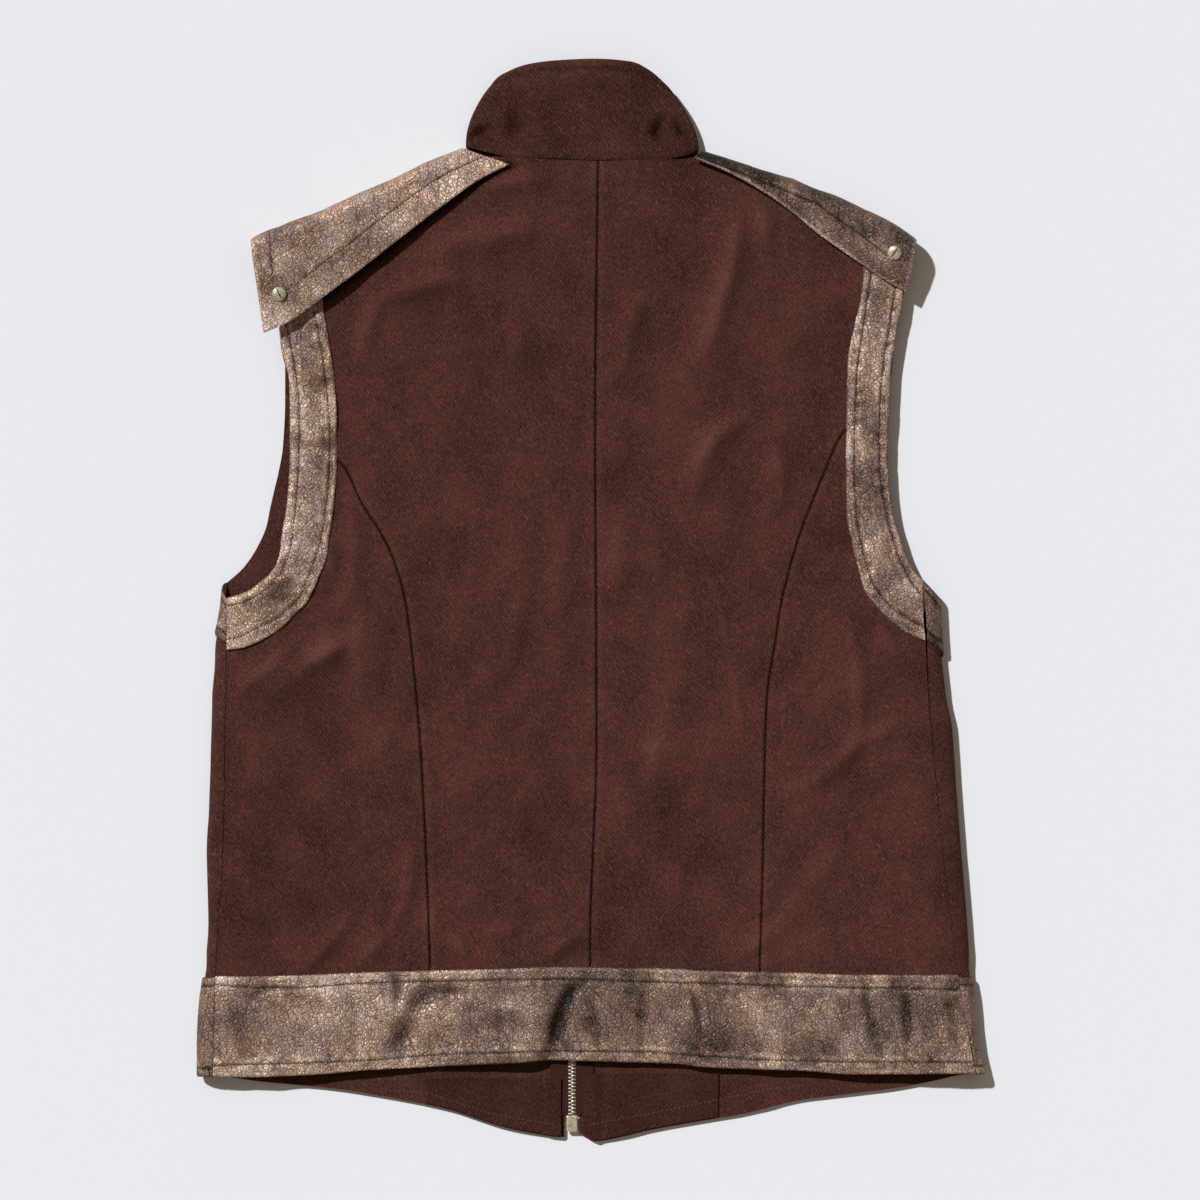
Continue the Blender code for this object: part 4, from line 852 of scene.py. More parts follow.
def leather_material(name, dark, middle, light):
    """Bronze-coated leather: mottled, grained and crackled, and lighter or darker by its shade attribute,
    which holds its tone and painted light and shade.
    """
    material, tree, shader, place = start_material(name)
    wander = add(tree, "TexNoise", {"Vector": place, "Scale": 70.0, "Detail": 3.0})
    cells = add(tree, "Mix", {0: 0.010, 4: place, 5: wander.outputs["Color"]}, data_type="VECTOR").outputs[1]
    crack = cracks_of(tree, cells, 400.0, 0.16)
    wide = cracks_of(tree, turned(tree, cells, 0, (1, 0.55, 1)), 150.0, 0.06)
    mottle = noise_of(tree, turned(tree, place, 0, (1, 0.7, 1)), 60.0, 7.0, 0.62, 0.6)
    cloud = noise_of(tree, place, 19.0, 4.0, 0.6)
    speck = noise_of(tree, place, 820.0, 3.0, 0.7)
    shade = add(tree, "Attribute", attribute_name="shade").outputs["Fac"]
    tone = weighted(tree, (mottle, 0.46), (cloud, 0.58), (speck, 0.36), (shade, 1.0), (crack, 0.19),
                    (wide, 0.07))
    fac = add(tree, "MapRange", {"Value": tone, "From Min": 1.01, "From Max": 1.90}).outputs["Result"]
    # Dim stop between the dark and middle colours, reached in cracks, dark mottles and painted shade
    shade_and_tone = mix(np.array(dark), np.array(middle), 0.5)
    shiny = mix(np.array(light), 1.0, 0.15)
    colour = ramp_of(tree, fac, (0.0, dark), (0.26, shade_and_tone), (0.50, middle), (0.80, light), (1.0, shiny))
    tint = ramp_of(tree, noise_of(tree, place, 48.0), (0.40, (0.95, 0.97, 1.05)), (0.60, (1.05, 1.0, 0.95)))
    tinted = add(tree, "Mix", {0: 1.0, 6: colour, 7: tint}, data_type="RGBA", blend_type="MULTIPLY")
    shader.inputs["Metallic"].default_value = 0.55
    rough = ramp_of(tree, speck, (0.3, 0.44), (0.7, 0.58))
    height = weighted(tree, (crack, 1.0), (wide, 1.3), (mottle, 1.6), (speck, 0.3))
    finish(tree, shader, tinted.outputs[2], rough, 0.4, height, 0.00023)
    return material


def thread_material(name, dark, light):
    """Sewing thread with a fine twist."""
    material, tree, shader, place = start_material(name)
    twist = wave_of(tree, turned(tree, place, 40), 700.0, 2.0)
    fac = weighted(tree, (twist, 1.0), (noise_of(tree, place, 60.0), 0.8))
    finish(tree, shader, ramp_of(tree, fac, (0.2, dark), (1.0, light)), 0.6, 0.5, twist, 0.00005, 0.6)
    return material


def brass_material(name, dark, light):
    """Pale aged brass with fine brush marks and darker places."""
    material, tree, shader, place = start_material(name)
    marks = noise_of(tree, turned(tree, place, 15, (1, 0.08, 1)), 2600.0)
    stain = noise_of(tree, place, 420.0, 4.0)
    shader.inputs["Metallic"].default_value = 0.8
    rough = ramp_of(tree, stain, (0.3, 0.5), (0.7, 0.3))
    finish(tree, shader, ramp_of(tree, stain, (0.36, dark), (0.58, light)), rough, 0.5, marks, 0.00003, 0.5)
    return material


def tape_material(name, dark, light):
    """Woven zip tape with a fine herringbone."""
    material, tree, shader, place = start_material(name)
    rows = wave_of(tree, turned(tree, place, 90), 380.0, 0.4)
    ribs = wave_of(tree, place, 240.0, 0.3)
    weave = add(tree, "Math", {0: rows, 1: ribs}, operation="MULTIPLY").outputs[0]
    finish(tree, shader, ramp_of(tree, weave, (0.1, dark), (0.9, light)), 0.9, 0.08, weave, 0.0002, 0.8)
    return material


LOOK = {
    "twill": twill_material("twill", (0.019, 0.0046, 0.0029), (0.172, 0.065, 0.0455), -27.0, 0.00034),
    "inside": twill_material("twill_inside", (0.013, 0.0036, 0.0026), (0.112, 0.043, 0.031), 27.0, 0.00012),
    "leather": leather_material("leather", (0.022, 0.0125, 0.009), (0.245, 0.157, 0.113),
                                (0.52, 0.372, 0.278)),
    "thread": thread_material("thread", (0.008, 0.005, 0.004), (0.03, 0.019, 0.015)),
    "pale_thread": thread_material("pale_thread", (0.06, 0.032, 0.024), (0.16, 0.1, 0.078)),
    "brass": brass_material("brass", (0.46, 0.37, 0.24), (0.9, 0.8, 0.6)),
    "tape": tape_material("zip_tape", (0.03, 0.0105, 0.008), (0.085, 0.034, 0.025)),
}


# Soft folds and rows of stitches, placed in the photo, in pixels

# Folds of the back
FOLDS = table(
    "x1 y1 x2 y2 x3 y3 half rise",
    (490, 193, 517, 187, 545, 185, 6, 1), (455, 250, 500, 240, 545, 235, 9, 0.9),
    (385, 305, 420, 292, 458, 285, 6, 0.9), (385, 305, 372, 330, 365, 360, 6, 0.8),
    (520, 320, 521, 350, 525, 380, 7, 0.7), (742, 225, 730, 290, 705, 360, 6, 1.1),
    (765, 200, 768, 230, 768, 260, 5, 1), (640, 310, 625, 370, 608, 390, 7, 0.8),
    (745, 425, 712, 450, 700, 495, 6, 0.9), (780, 440, 782, 470, 785, 505, 6, 0.9),
    (662, 455, 682, 515, 705, 565, 2.4, 0.35), (705, 565, 722, 610, 730, 660, 2.4, 0.4),
    (730, 660, 740, 700, 742, 735, 2.6, 0.35), (850, 625, 862, 680, 862, 715, 5, 0.8),
    (862, 715, 855, 750, 810, 790, 6, 0.9), (855, 750, 880, 738, 900, 725, 5, 0.9),
    (880, 635, 892, 650, 905, 665, 4, 1), (355, 500, 357, 580, 345, 610, 6, 0.8),
    (330, 540, 334, 558, 337, 575, 4, 0.8), (305, 640, 275, 668, 240, 695, 5, 0.8),
    (350, 645, 328, 658, 305, 670, 6, 1.2), (362, 605, 362, 650, 362, 690, 5, 0.7),
    (410, 850, 413, 890, 395, 935, 5, 0.9), (395, 935, 380, 950, 365, 965, 6, 0.9),
    (355, 920, 335, 943, 315, 965, 5, 0.9), (435, 910, 435, 925, 435, 940, 4, 0.6),
    (455, 940, 463, 950, 470, 960, 4, 0.7), (490, 935, 505, 933, 520, 930, 5, 0.7),
    (540, 965, 562, 950, 585, 935, 5, 0.8), (570, 530, 566, 585, 560, 640, 7, 0.6),
    (530, 605, 520, 637, 510, 670, 6, 0.6), (485, 670, 490, 682, 495, 695, 5, 0.5),
    (625, 520, 623, 560, 620, 600, 6, 0.5), (680, 670, 678, 700, 675, 730, 8, 0.5),
    (660, 740, 657, 762, 655, 785, 6, 0.6), (840, 855, 815, 885, 790, 915, 7, 0.7),
    (795, 920, 770, 940, 745, 960, 6, 0.8), (680, 865, 682, 882, 685, 900, 4, 0.5),
    (955, 915, 950, 925, 945, 935, 4, 0.8), (450, 550, 447, 570, 445, 590, 5, 0.5),
    (405, 665, 408, 690, 410, 715, 5, 0.5), (395, 730, 387, 745, 380, 760, 5, 0.5),
    (405, 886, 409, 889, 413, 894, 1.2, 0.6))

# Troughs and wrinkles of the hem band
BAND_FOLDS = table(
    "x1 y1 x2 y2 x3 y3 half rise",
    (460, 990, 428, 992, 410, 1010, 5.5, -1), (410, 1010, 396, 1036, 390, 1056, 7.5, -1.1),
    (393, 974, 397, 988, 396, 1003, 2.2, -0.6), (455, 1062, 510, 1058, 552, 1056, 9, 1.5),
    (575, 985, 558, 1012, 548, 1058, 4.5, -1.2), (592, 990, 594, 1020, 598, 1052, 2.8, -0.35),
    (640, 990, 641, 1020, 640, 1050, 2.6, -0.5), (690, 985, 696, 1010, 700, 1035, 2.6, -0.7),
    (862, 985, 868, 1020, 878, 1052, 4, -0.6), (903, 985, 905, 1015, 906, 1050, 3, -0.5),
    (250, 1000, 275, 986, 300, 1004, 2.2, -0.4), (560, 1040, 566, 1046, 572, 1048, 2, -0.4),
    (470, 1000, 500, 1012, 530, 1010, 5, 0.7), (325, 995, 345, 1020, 350, 1050, 5, 0.6),
    (740, 995, 770, 1025, 800, 1050, 6, 0.6), (935, 985, 948, 1015, 955, 1050, 4, 0.7),
    (225, 1010, 235, 1035, 245, 1055, 4, 0.6))

# Creases of the collar's back
COLLAR_FOLDS = table(
    "x1 y1 x2 y2 x3 y3 half rise",
    (470, 139, 478, 131, 488, 127, 2.6, 0.9), (510, 112, 512, 124, 510, 136, 5, 0.8),
    (656, 140, 653, 130, 660, 118, 3, 1.1), (674, 120, 677, 130, 681, 136, 2.4, 1.1),
    (560, 84, 600, 92, 640, 90, 6, 0.15), (540, 145, 552, 120, 556, 96, 5, 0.2))

# Rows of stitches that the photo shows
STITCH_LINES = {
    "hem_upper": [
        (205, 983), (215, 983.5), (260, 987), (300, 987), (350, 983), (400, 981), (500, 979), (560, 978),
        (650, 981), (750, 984), (850, 987), (966, 988)],
    "hem_lower": [
        (201, 1064), (212, 1064), (300, 1062), (350, 1060), (400, 1057), (450, 1053), (550, 1050),
        (650, 1051), (700, 1055), (750, 1058), (850, 1061), (976, 1060.5)],
    "armhole_left_inner": [
        (314, 312), (322, 350), (327, 390), (330, 430), (330, 460), (327, 500), (321, 540), (313, 565),
        (300, 597), (280, 616), (250, 632), (238, 637), (229, 639)],
    "armhole_left_outer": [
        (284, 315), (288, 330), (294, 360), (299.5, 400), (300, 430), (298.5, 470), (296, 505),
        (291, 548), (283, 570), (268, 588), (245, 602), (228, 606)],
    "armhole_right_inner": [
        (872, 262), (868, 290), (863, 325), (857, 365), (854.5, 410), (853.5, 470), (856, 520),
        (864, 560), (873, 585), (890, 607), (912, 621), (923, 626)],
    "armhole_right_outer": [
        (898, 268), (894, 292), (889, 325), (883, 360), (879.5, 400), (878.5, 440), (880, 480),
        (887, 520), (897, 555), (910, 582), (919, 593)],
    "flap_left_long": [
        (483, 158), (470, 164), (450, 173), (430, 185), (410, 199), (390, 214), (370, 229), (350, 245),
        (330, 259), (310, 275), (288, 291)],
    "flap_left_end": [
        (268, 222), (270, 231), (272, 260), (274, 284)],
    "flap_right_long": [
        (706, 160), (730, 170), (780, 190), (818, 206), (830, 216), (850, 229), (870, 244), (887, 257)],
    "flap_right_end": [
        (901, 222), (898, 229), (896, 245)],
    "collar": [
        (486, 104), (494, 92), (508, 80), (525, 74), (550, 71.5), (590, 69), (620, 70), (645, 76),
        (660, 90), (671, 103)],
    "front_hem_inside_left": [
        (380, 1090), (427, 1093), (450, 1100), (480, 1110), (510, 1117), (555, 1124)],
    "front_hem_inside_right": [
        (588, 1125), (640, 1115), (700, 1103), (760, 1091), (800, 1085)],
}
STITCH_LINES = {name: photo(line) for name, line in STITCH_LINES.items()}


def smooth_seam(values):
    """A seam of the back as a line of close points."""
    fine = closer(values, 8.0)
    return np.stack([fine["x"], fine["y"]], axis=1)


# How much higher the folds of the back stand than the rises of their tables
FOLD_SCALE = 3.3
BACK_SEAMS = [smooth_seam(CENTRE_SEAM), smooth_seam(PRINCESS["left"]), smooth_seam(PRINCESS["right"])]


def back_surface(x, y):
    """Upper face of the back twill with its folds, the dips of its seams and their puckers."""
    x, y = np.broadcast_arrays(np.asarray(x, float), np.asarray(y, float))
    height = back_top(x, y)
    inside = np.minimum(x - back_edge("left", y), back_edge("right", y) - x)
    shoulder = np.minimum(read(SHOULDER["left"], "x", "y", x) - y + 400 * (x > -30),
                          read(SHOULDER["right"], "x", "y", x) - y + 400 * (x < 20))
    calm = step(1.0, 15.0, inside) * step(6.0, 48.0, shoulder)
    uneven = 1.1 * noise(x, y, 46, 1, 1.3) + 0.9 * noise(x, y, 22, 2, 1.7) + 0.34 * noise(x, y, 10, 3, 1.4)
    height = height + calm * (0.6 + np.maximum(uneven, -1.4) + FOLD_SCALE * fold_height(FOLDS, x, y))
    free = 0.25 + 0.75 * step(BAND_TOP - 4, BAND_TOP + 3, y)
    for line in BACK_SEAMS:
        away = nearest(line, x, y)
        pucker = noise(x, y, 15, 11, 0.32) * bell(away, 7.5)
        roll = 0.16 * bell(away, 2.6, 4.5)
        height = height + free * (0.5 * pucker + roll - 0.6 * bell(away, 0.9))
    band = 1 - step(BAND_TOP - 1, BAND_TOP + 16, y)
    return height + calm * band * FOLD_SCALE * fold_height(BAND_FOLDS, x, y)


def leather_shade(soft, ripples, groove, edge):
    """Painted light and shade of leather on the back: lighter on swells and beside its edge, darker in its
    grooves.
    """
    return 0.54 + 0.24 * soft + 0.12 * ripples - 0.26 * groove + 0.16 * bell(edge, 1.3, 1.5)


def lay(node, outer, inner, rows, edge, puckers=1.0, shade_and_tone=0.0):
    """Leather wall on the back, with its grain along its normals, its painted light and shade, and its rows
    of stitches. Its last argument shifts its tone, and on the hem band adds painted shade in the creases."""
    x, y = outer[..., 0], outer[..., 1]
    away = np.min([nearest(STITCH_LINES[row], x, y) for row in rows], axis=0)
    ripples = noise(x, y, 4.2, 21) * bell(away, 3.6, 2.0) * puckers
    soft = 0.75 * noise(x, y, 19, 22, 1.3) + 0.30 * noise(x, y, 7.5, 23) + 0.05 * noise(x, y, 2.8, 24)
    groove = bell(away, 0.6)
    border = bell(edge, 0.75)
    height = soft + 0.5 * ripples - 0.34 * groove - 0.55 * border
    shade = leather_shade(soft, ripples, groove, edge)
    # Painted highlight beside each row of stitches, and painted shade along the very edge
    shade = shade + 0.10 * bell(away, 1.5, 2.6) - 0.15 * border
    outer = outer + facing(outer, inner) * height[..., None]
    band = wall(node, outer, inner, "leather", shade=np.clip(shade, 0, 1) + shade_and_tone)
    return band, [sew_on(row, [band]) for row in rows]


# Back

# Spacing of the back's rows and columns, and of the columns close to its seams
BACK_SPACING = 2.6
BESIDE_SEAM = (0.55, 1.2, 2.0)


def make_back_panel(side, name, rows):
    """One panel of the back from the ends of its rows."""
    fine = closer(table("x1 y1 x2 y2 sag", *rows), BACK_SPACING * 1.3)
    x1, y1, x2, y2, sag = (found[:, None] for found in fine.values())
    widest = np.max(np.abs(x2 - x1))
    close = np.array(BESIDE_SEAM) / widest
    shares = np.unique(np.concatenate([spaced(0, widest, BACK_SPACING), close, 1 - close]))
    x, y = mix(x1, x2, shares), mix(y1, y2, shares)
    y = y + back_hem_shift(x, y) - sag * 4 * shares * (1 - shares)
    top = back_surface(x, y)
    seam = np.min([nearest(line, x, y) for line in BACK_SEAMS], axis=0)
    # Painted shadow below the left flap's free edge; painted light and shade, lighter on fold crests
    flap_edge = np.stack([FLAPS["left"]["free_x"], FLAPS["left"]["free_y"]], axis=1)
    folds_and_flap_shadow = top - back_top(x, y) - 14 * bell(nearest(flap_edge, x, y), 3.6)
    shade = 0.5 + 0.045 * folds_and_flap_shadow - 0.5 * bell(seam, 0.8)
    shade = shade + 0.07 * bell(seam, 1.6, 2.6)
    return wall(f"{name}_{side}", grid_of(x, y, top), grid_of(x, y, top - TWILL), "twill", shade=shade)


def make_back_hem_band():
    """Leather band across the back hem."""
    y = mix(HEM, BAND_TOP, spaced(HEM, BAND_TOP, 1.15))[:, None]
    x = mix(back_edge("left", y) + SEAM * 1.5, back_edge("right", y) - SEAM * 1.5, spaced(-270, 270, 1.6))
    y = y + back_hem_shift(x, y)
    under = back_surface(x, y) + SEAM
    outer, inner = grid_of(x, y, under + LEATHER), grid_of(x, y, under)
    edge = distance_across(outer.transpose(1, 0, 2)).T
    # Painted shade in the troughs of the band's folds, on a tone lighter to the left and darker to the right
    shade_and_tone = 0.38 * np.minimum(fold_height(BAND_FOLDS, x, y), 0) + mix(0.10, -0.09, step(-200, 40, x))
    return lay("hem_band_back", outer, inner, ["hem_upper", "hem_lower"], edge, shade_and_tone=shade_and_tone)


def make_back_armhole_band(side):
    """Leather band along the armhole of the back."""
    fine = closer(BACK_BAND[side], 2.2)
    shares = np.linspace(0, 1, 32)
    x = mix(fine["outer_x"][:, None], fine["inner_x"][:, None], shares)
    y = mix(fine["outer_y"][:, None], fine["inner_y"][:, None], shares)
    x[0] = read(SIDE[side], "y", "seam", y[0]) - SIGN[side] * SEAM * 1.5
    under = back_surface(x, y) + SEAM + 0.1
    outer, inner = grid_of(x, y, under + LEATHER), grid_of(x, y, under)
    rows = [f"armhole_{side}_inner", f"armhole_{side}_outer"]
    shade_and_tone = 0.10 if side == "left" else 0.03
    return lay("armhole_band_back_" + side, outer, inner, rows, distance_across(outer), 1.4, shade_and_tone)


# Front

# Spacing of the front's rows, and how far above its hem they are closer
FRONT_SPACING = 4.6
FRONT_HEM_ROWS = 66.0
# Usual width of a front from the zip to its side fold, which its columns are spaced for
FRONT_WIDTH = 262.0
# Distance of the front's stitches from the edges of its leather
STITCH_IN = 6.3

# Folds of the front: two seen on its hem, then hidden ones, which follow none in the photo
FRONT_FOLDS = table(
    "x1 y1 x2 y2 x3 y3 half rise",
    (722, 1087, 750, 1080, 778, 1073, 1.8, 0.8), (430, 1076, 480, 1079, 530, 1080, 1.8, 0.6),
    (300, 300, 340, 380, 350, 470, 9, 1.2), (420, 250, 450, 300, 500, 330, 8, 0.9),
    (240, 660, 300, 700, 350, 780, 9, 1.3), (260, 620, 320, 600, 400, 610, 8, 1),
    (300, 820, 330, 880, 320, 950, 8, 1.1), (430, 500, 440, 600, 420, 700, 8, 0.8),
    (480, 760, 470, 850, 490, 940, 7, 0.8), (880, 340, 840, 420, 820, 500, 9, 1.2),
    (760, 260, 720, 310, 690, 330, 8, 0.9), (900, 660, 850, 710, 800, 800, 9, 1.3),
    (880, 620, 820, 600, 760, 620, 8, 1), (860, 830, 840, 890, 850, 950, 8, 1.1),
    (740, 520, 730, 610, 750, 700, 8, 0.8), (680, 780, 700, 860, 680, 940, 7, 0.8))


def front_detail(x, y):
    """How far the front's cloth stands off the surface that it lies on, beyond its inset."""
    calm = step(17, 38, np.abs(x - ZIP_X)) * step(HEM - 50, HEM + 4, y)
    soft = 0.30 * (1 + noise(x, y, 30, 31, 1.5)) + 0.12 * (1 + noise(x, y, 11, 32))
    return calm * (soft + fold_height(FRONT_FOLDS, x, y))


def front_columns(side, y, spacing):
    """Places across the front from the zip to the end of its side roll, flat ones and those of the roll."""
    to_fold = abs(read(SIDE[side], "y", "seam", y) - ZIP_X)
    flat = mix(FRONT_EDGE, to_fold, spaced(FRONT_EDGE, FRONT_WIDTH, spacing) ** 0.85)
    roll = to_fold + ARC_LENGTH * spaced(0, ARC_LENGTH, 1.6)[1:]
    return np.concatenate([flat, roll]), len(flat)


def front_ends(side):
    """Rows of the front above the armpit: where each ends, where it starts at the zip, and its bend."""
    edge = FRONT_ARMHOLE[side]
    armpit = FRONT_ARMPIT[side]
    ends = [(read(SIDE[side], "y", "seam", armpit), armpit, armpit, 0.0)]
    ends += [(read(edge, "y", "x", y), y, y, 0.0) for y in ARMHOLE_ROWS if y > armpit + ARMHOLE_CLEAR]
    ends += [(read(edge, "y", "x", end_y), end_y, start_y, bend)
             for end_y, start_y, bend in rows_of(UPPER_ROWS)]
    shoulder_end = ends[-1][0]
    for share, start_y, bend in rows_of(SHOULDER_ROWS):
        x = mix(shoulder_end, NECK_POINT[side][0], share)
        ends.append((x, read(SHOULDER[side], "x", "y", x) - SHOULDER_IN, start_y, bend))
    ends.append((*NECK_POINT[side], FRONT_NECK, 1.0))
    return closer(table("x y start_y bend", *ends), FRONT_SPACING)


def make_front(side):
    """Front panel: flat rows with the roll at the side, then rows that end at the armhole and shoulder."""
    sign = SIGN[side]
    hem_top = HEM + FRONT_HEM_ROWS
    hem_rows = mix(HEM, hem_top, spaced(0, FRONT_HEM_ROWS, 2.4))
    body_rows = mix(hem_top, FRONT_ARMPIT[side], spaced(hem_top, FRONT_ARMPIT[side], FRONT_SPACING)[1:])
    lower = np.concatenate([hem_rows, body_rows])
    outer, inner = [], []
    for y in lower:
        across, flats = front_columns(side, y, FRONT_SPACING)
        x = ZIP_X + sign * across
        inset = front_inset(side, x, y) + front_detail(x, y)
        outer.append(front_point(side, across, y, inset))
        inner.append(front_point(side, across, y, inset + TWILL))
    zip_edge = ZIP_X + sign * FRONT_EDGE
    neck_bend = np.array([NECK_POINT[side][0] - sign * 6.0, FRONT_NECK + 1.0])
    bow = neck_bend - (np.array(NECK_POINT[side]) + (zip_edge, FRONT_NECK)) / 2
    shares = spaced(FRONT_EDGE, FRONT_WIDTH, FRONT_SPACING) ** 0.85
    for x, y, start_y, bend in list(rows_of(front_ends(side)))[1:]:
        start, end = np.array([zip_edge, start_y]), np.array([x, y])
        x, y = bent_line(start, (start + end) / 2 + bow * bend, end, shares).T
        inset = front_inset(side, x, y) + front_detail(x, y)
        row = front_point(side, np.abs(x - ZIP_X), y, inset)
        spare = np.repeat(row[-1:], len(outer[0]) - flats, axis=0)
        outer.append(np.concatenate([row, spare]))
        inner.append(np.concatenate([row + (0, 0, TWILL), spare]))
    outer, inner = np.array(outer), np.array(inner)
    present = np.ones((len(outer) - 1, outer.shape[1] - 1), bool)
    present[len(lower) - 1:, flats - 1:] = False
    return wall("front_" + side, outer, inner, "twill", present)


def lay_below(node, outer, inner, edge, uneven):
    """Leather wall of the front and its finished outer grid, dented by a row of stitches along each edge."""
    away = np.minimum(np.abs(edge - STITCH_IN), 20)
    ripples = uneven * bell(away, 3.4, 2)
    height = -0.36 * bell(away, 0.9) - 0.45 * bell(edge, 0.75) - 0.18 * (1 + ripples)
    # Painted shade in the stitch dents and along the edges
    shade = 0.5 + 0.3 * ripples - 0.42 * bell(away, 0.85) - 0.3 * bell(edge, 1.2)
    outer = outer + facing(outer, inner) * height[..., None]
    return wall(node, outer, inner, "leather", shade=shade), outer


def make_front_hem_band(side):
    """Leather band round the front hem and its stitches, which are underneath."""
    outer, inner = [], []
    for y in mix(HEM, BAND_TOP, spaced(HEM, BAND_TOP, 1.5)):
        across, _ = front_columns(side, y, 2.2)
        x = ZIP_X + SIGN[side] * across
        lift = 0.12 * (1 + noise(x, y, 9, 41)) + 0.5 * front_detail(x, y)
        outer.append(front_point(side, across, y, lift))
        inner.append(front_point(side, across, y, lift + LEATHER))
    outer, inner = np.array(outer), np.array(inner)
    edge = distance_across(outer.transpose(1, 0, 2)).T
    uneven = noise(outer[..., 0], outer[..., 1] + outer[..., 2] * 2, 4.2, 42)
    band, outer = lay_below("hem_band_front_" + side, outer, inner, edge, uneven)
    names = [f"stitches_front_hem_{side}_{row}" for row in ("lower", "upper")]
    return band, sew_edges(names, outer.transpose(1, 0, 2), inner.transpose(1, 0, 2), slice(2, -1))


def make_front_armhole_band(side):
    """Leather band along the front armhole, from the side seam round the fold and up to the shoulder."""
    columns = 30
    shares = np.linspace(0, 1, columns)
    ys = FRONT_ARMPIT[side] - ARMHOLE_BAND * shares
    to_fold = np.abs(read(SIDE[side], "y", "seam", ys) - ZIP_X)
    outer, inner = [], []
    for turn in ARC_LENGTH * np.linspace(1.0, 0.08, 14):
        outer.append(front_point(side, to_fold + turn, ys, 0.0))
        inner.append(front_point(side, to_fold + turn, ys, LEATHER))
    for x1, y1, x2, y2 in rows_of(closer(FRONT_BAND[side], 2.6)):
        x, y = mix(x1, x2, shares), mix(y1, y2, shares)
        under = flat_height(side, x, y, front_inset(side, x, y)) + front_detail(x, y)
        outer.append(grid_of(x, y, np.maximum(0.0, under - BAND_STEP)))
        inner.append(outer[-1] + (0, 0, LEATHER))
    outer, inner = np.array(outer), np.array(inner)
    across = np.cumsum(np.full(columns, ARMHOLE_BAND / (columns - 1)))
    uneven = noise(run_along(outer[:, 8])[:, None], across, 4.4, 51)
    band, outer = lay_below("armhole_band_front_" + side, outer, inner, distance_across(outer), uneven)
    names = [f"stitches_armhole_front_{side}_{row}" for row in ("outer", "inner")]
    return band, sew_edges(names, outer, inner, slice(1, None))


# Collar, flaps, facings and zip

def make_collar():
    """Stand collar with its creases and top stitch."""
    fine = closer(COLLAR_SECTIONS, 2.0)
    shares = np.linspace(0, 1, 34)
    low = grid_of(fine["low_x"], fine["low_y"], fine["low_z"])
    top = grid_of(fine["top_x"], fine["top_y"], fine["top_z"])
    middle = low[:, None, :] + (top - low)[:, None, :] * shares[None, :, None]
    middle[..., 0] += fine["bulge"][:, None] * 4 * shares * (1 - shares)
    length = np.linalg.norm(top - low, axis=1)[:, None]
    from_low, below = length * shares, length * (1 - shares)
    near_ends = np.clip(np.abs(middle[..., 0] + 10) / 77, 0, 1.1) ** 2
    middle[..., 1] -= step(5, 9, middle[..., 2]) * (0.5 + 2.0 * near_ends) * np.exp(-from_low / 4)
    x, y, z = middle[..., 0], middle[..., 1], middle[..., 2]
    creases = fold_height(COLLAR_FOLDS, x, y)
    soft = 0.55 * noise(x, y, 24, 61) + 0.25 * noise(x, y, 10, 62)
    lift = step(7, 10, z) * soft + step(1.5, 4, z) * 4.0 * creases
    groove = bell(below, 0.9, 6.5)
    pucker = 0.14 * noise(x, y, 5, 63) * bell(below, 4, 6.5)
    half = COLLAR / 2 * (1 - 0.55 * bell(below, 1.1)) - 0.22 * groove + pucker
    aside = normals_of(middle) * half[..., None]
    outer, inner = middle + aside, middle - aside
    for grid in (outer, inner):
        grid[..., 2] = np.maximum(grid[..., 2] + lift, 0.0)
    # Painted shade in the creases and stitch groove, painted light on the top edge and raised parts
    shade = 0.45 - 0.25 * groove + 0.1 * bell(below, 1.2) + 0.05 * lift - 0.55 * creases
    shade = shade - 0.14 * bell(from_low, 1.3)
    collar = wall("collar", outer, inner, "twill", shade=shade)
    return collar, [sew_on("collar", [collar], slot="twill", width=0.26)]


def flap_sections(side):
    """Grid of the outer face of a shoulder flap: back leaf, fold over the shoulder, front leaf."""
    fine = closer(FLAPS[side], 2.4)
    from_neck = np.abs(fine["fold_x"] - fine["fold_x"][0])
    grid = []
    for (*fold, free_x, free_y, height, edge), end in zip(rows_of(fine), from_neck / from_neck[-1]):
        to_free = np.array([free_x, free_y]) - fold
        leaf = np.linalg.norm(to_free)
        direction = to_free / leaf
        depth = min(9.0, 0.45 * leaf)
        front_leaf = mix(26.0, FLAP_FRONT_LEAF, min(1.0, end / 0.45))
        way = np.array([SIGN[side] * mix(0.12, -0.25, end), -1.0])
        way /= np.linalg.norm(way)
        section = [(depth + (leaf - depth) * share, mix(height, edge, share ** 1.3), direction)
                   for share in np.linspace(1, 0.03, 40)]
        section += [(depth * (1 - math.cos(turn)), height / 2 * (1 + math.sin(turn)), direction)
                    for turn in np.radians(np.linspace(90, -90, 19))]
        section += [(mix(depth, front_leaf, share), 0.0, way) for share in np.linspace(0.06, 1, 18)]
        grid.append([(*(fold + direction * min(distance, depth) + onward * max(0.0, distance - depth)), z)
                     for distance, z, onward in section])
    return np.array(grid)


# Middles of the studs
STUD_AT = {"left": (-217.5, 213.3), "right": (211.8, 242.0)}


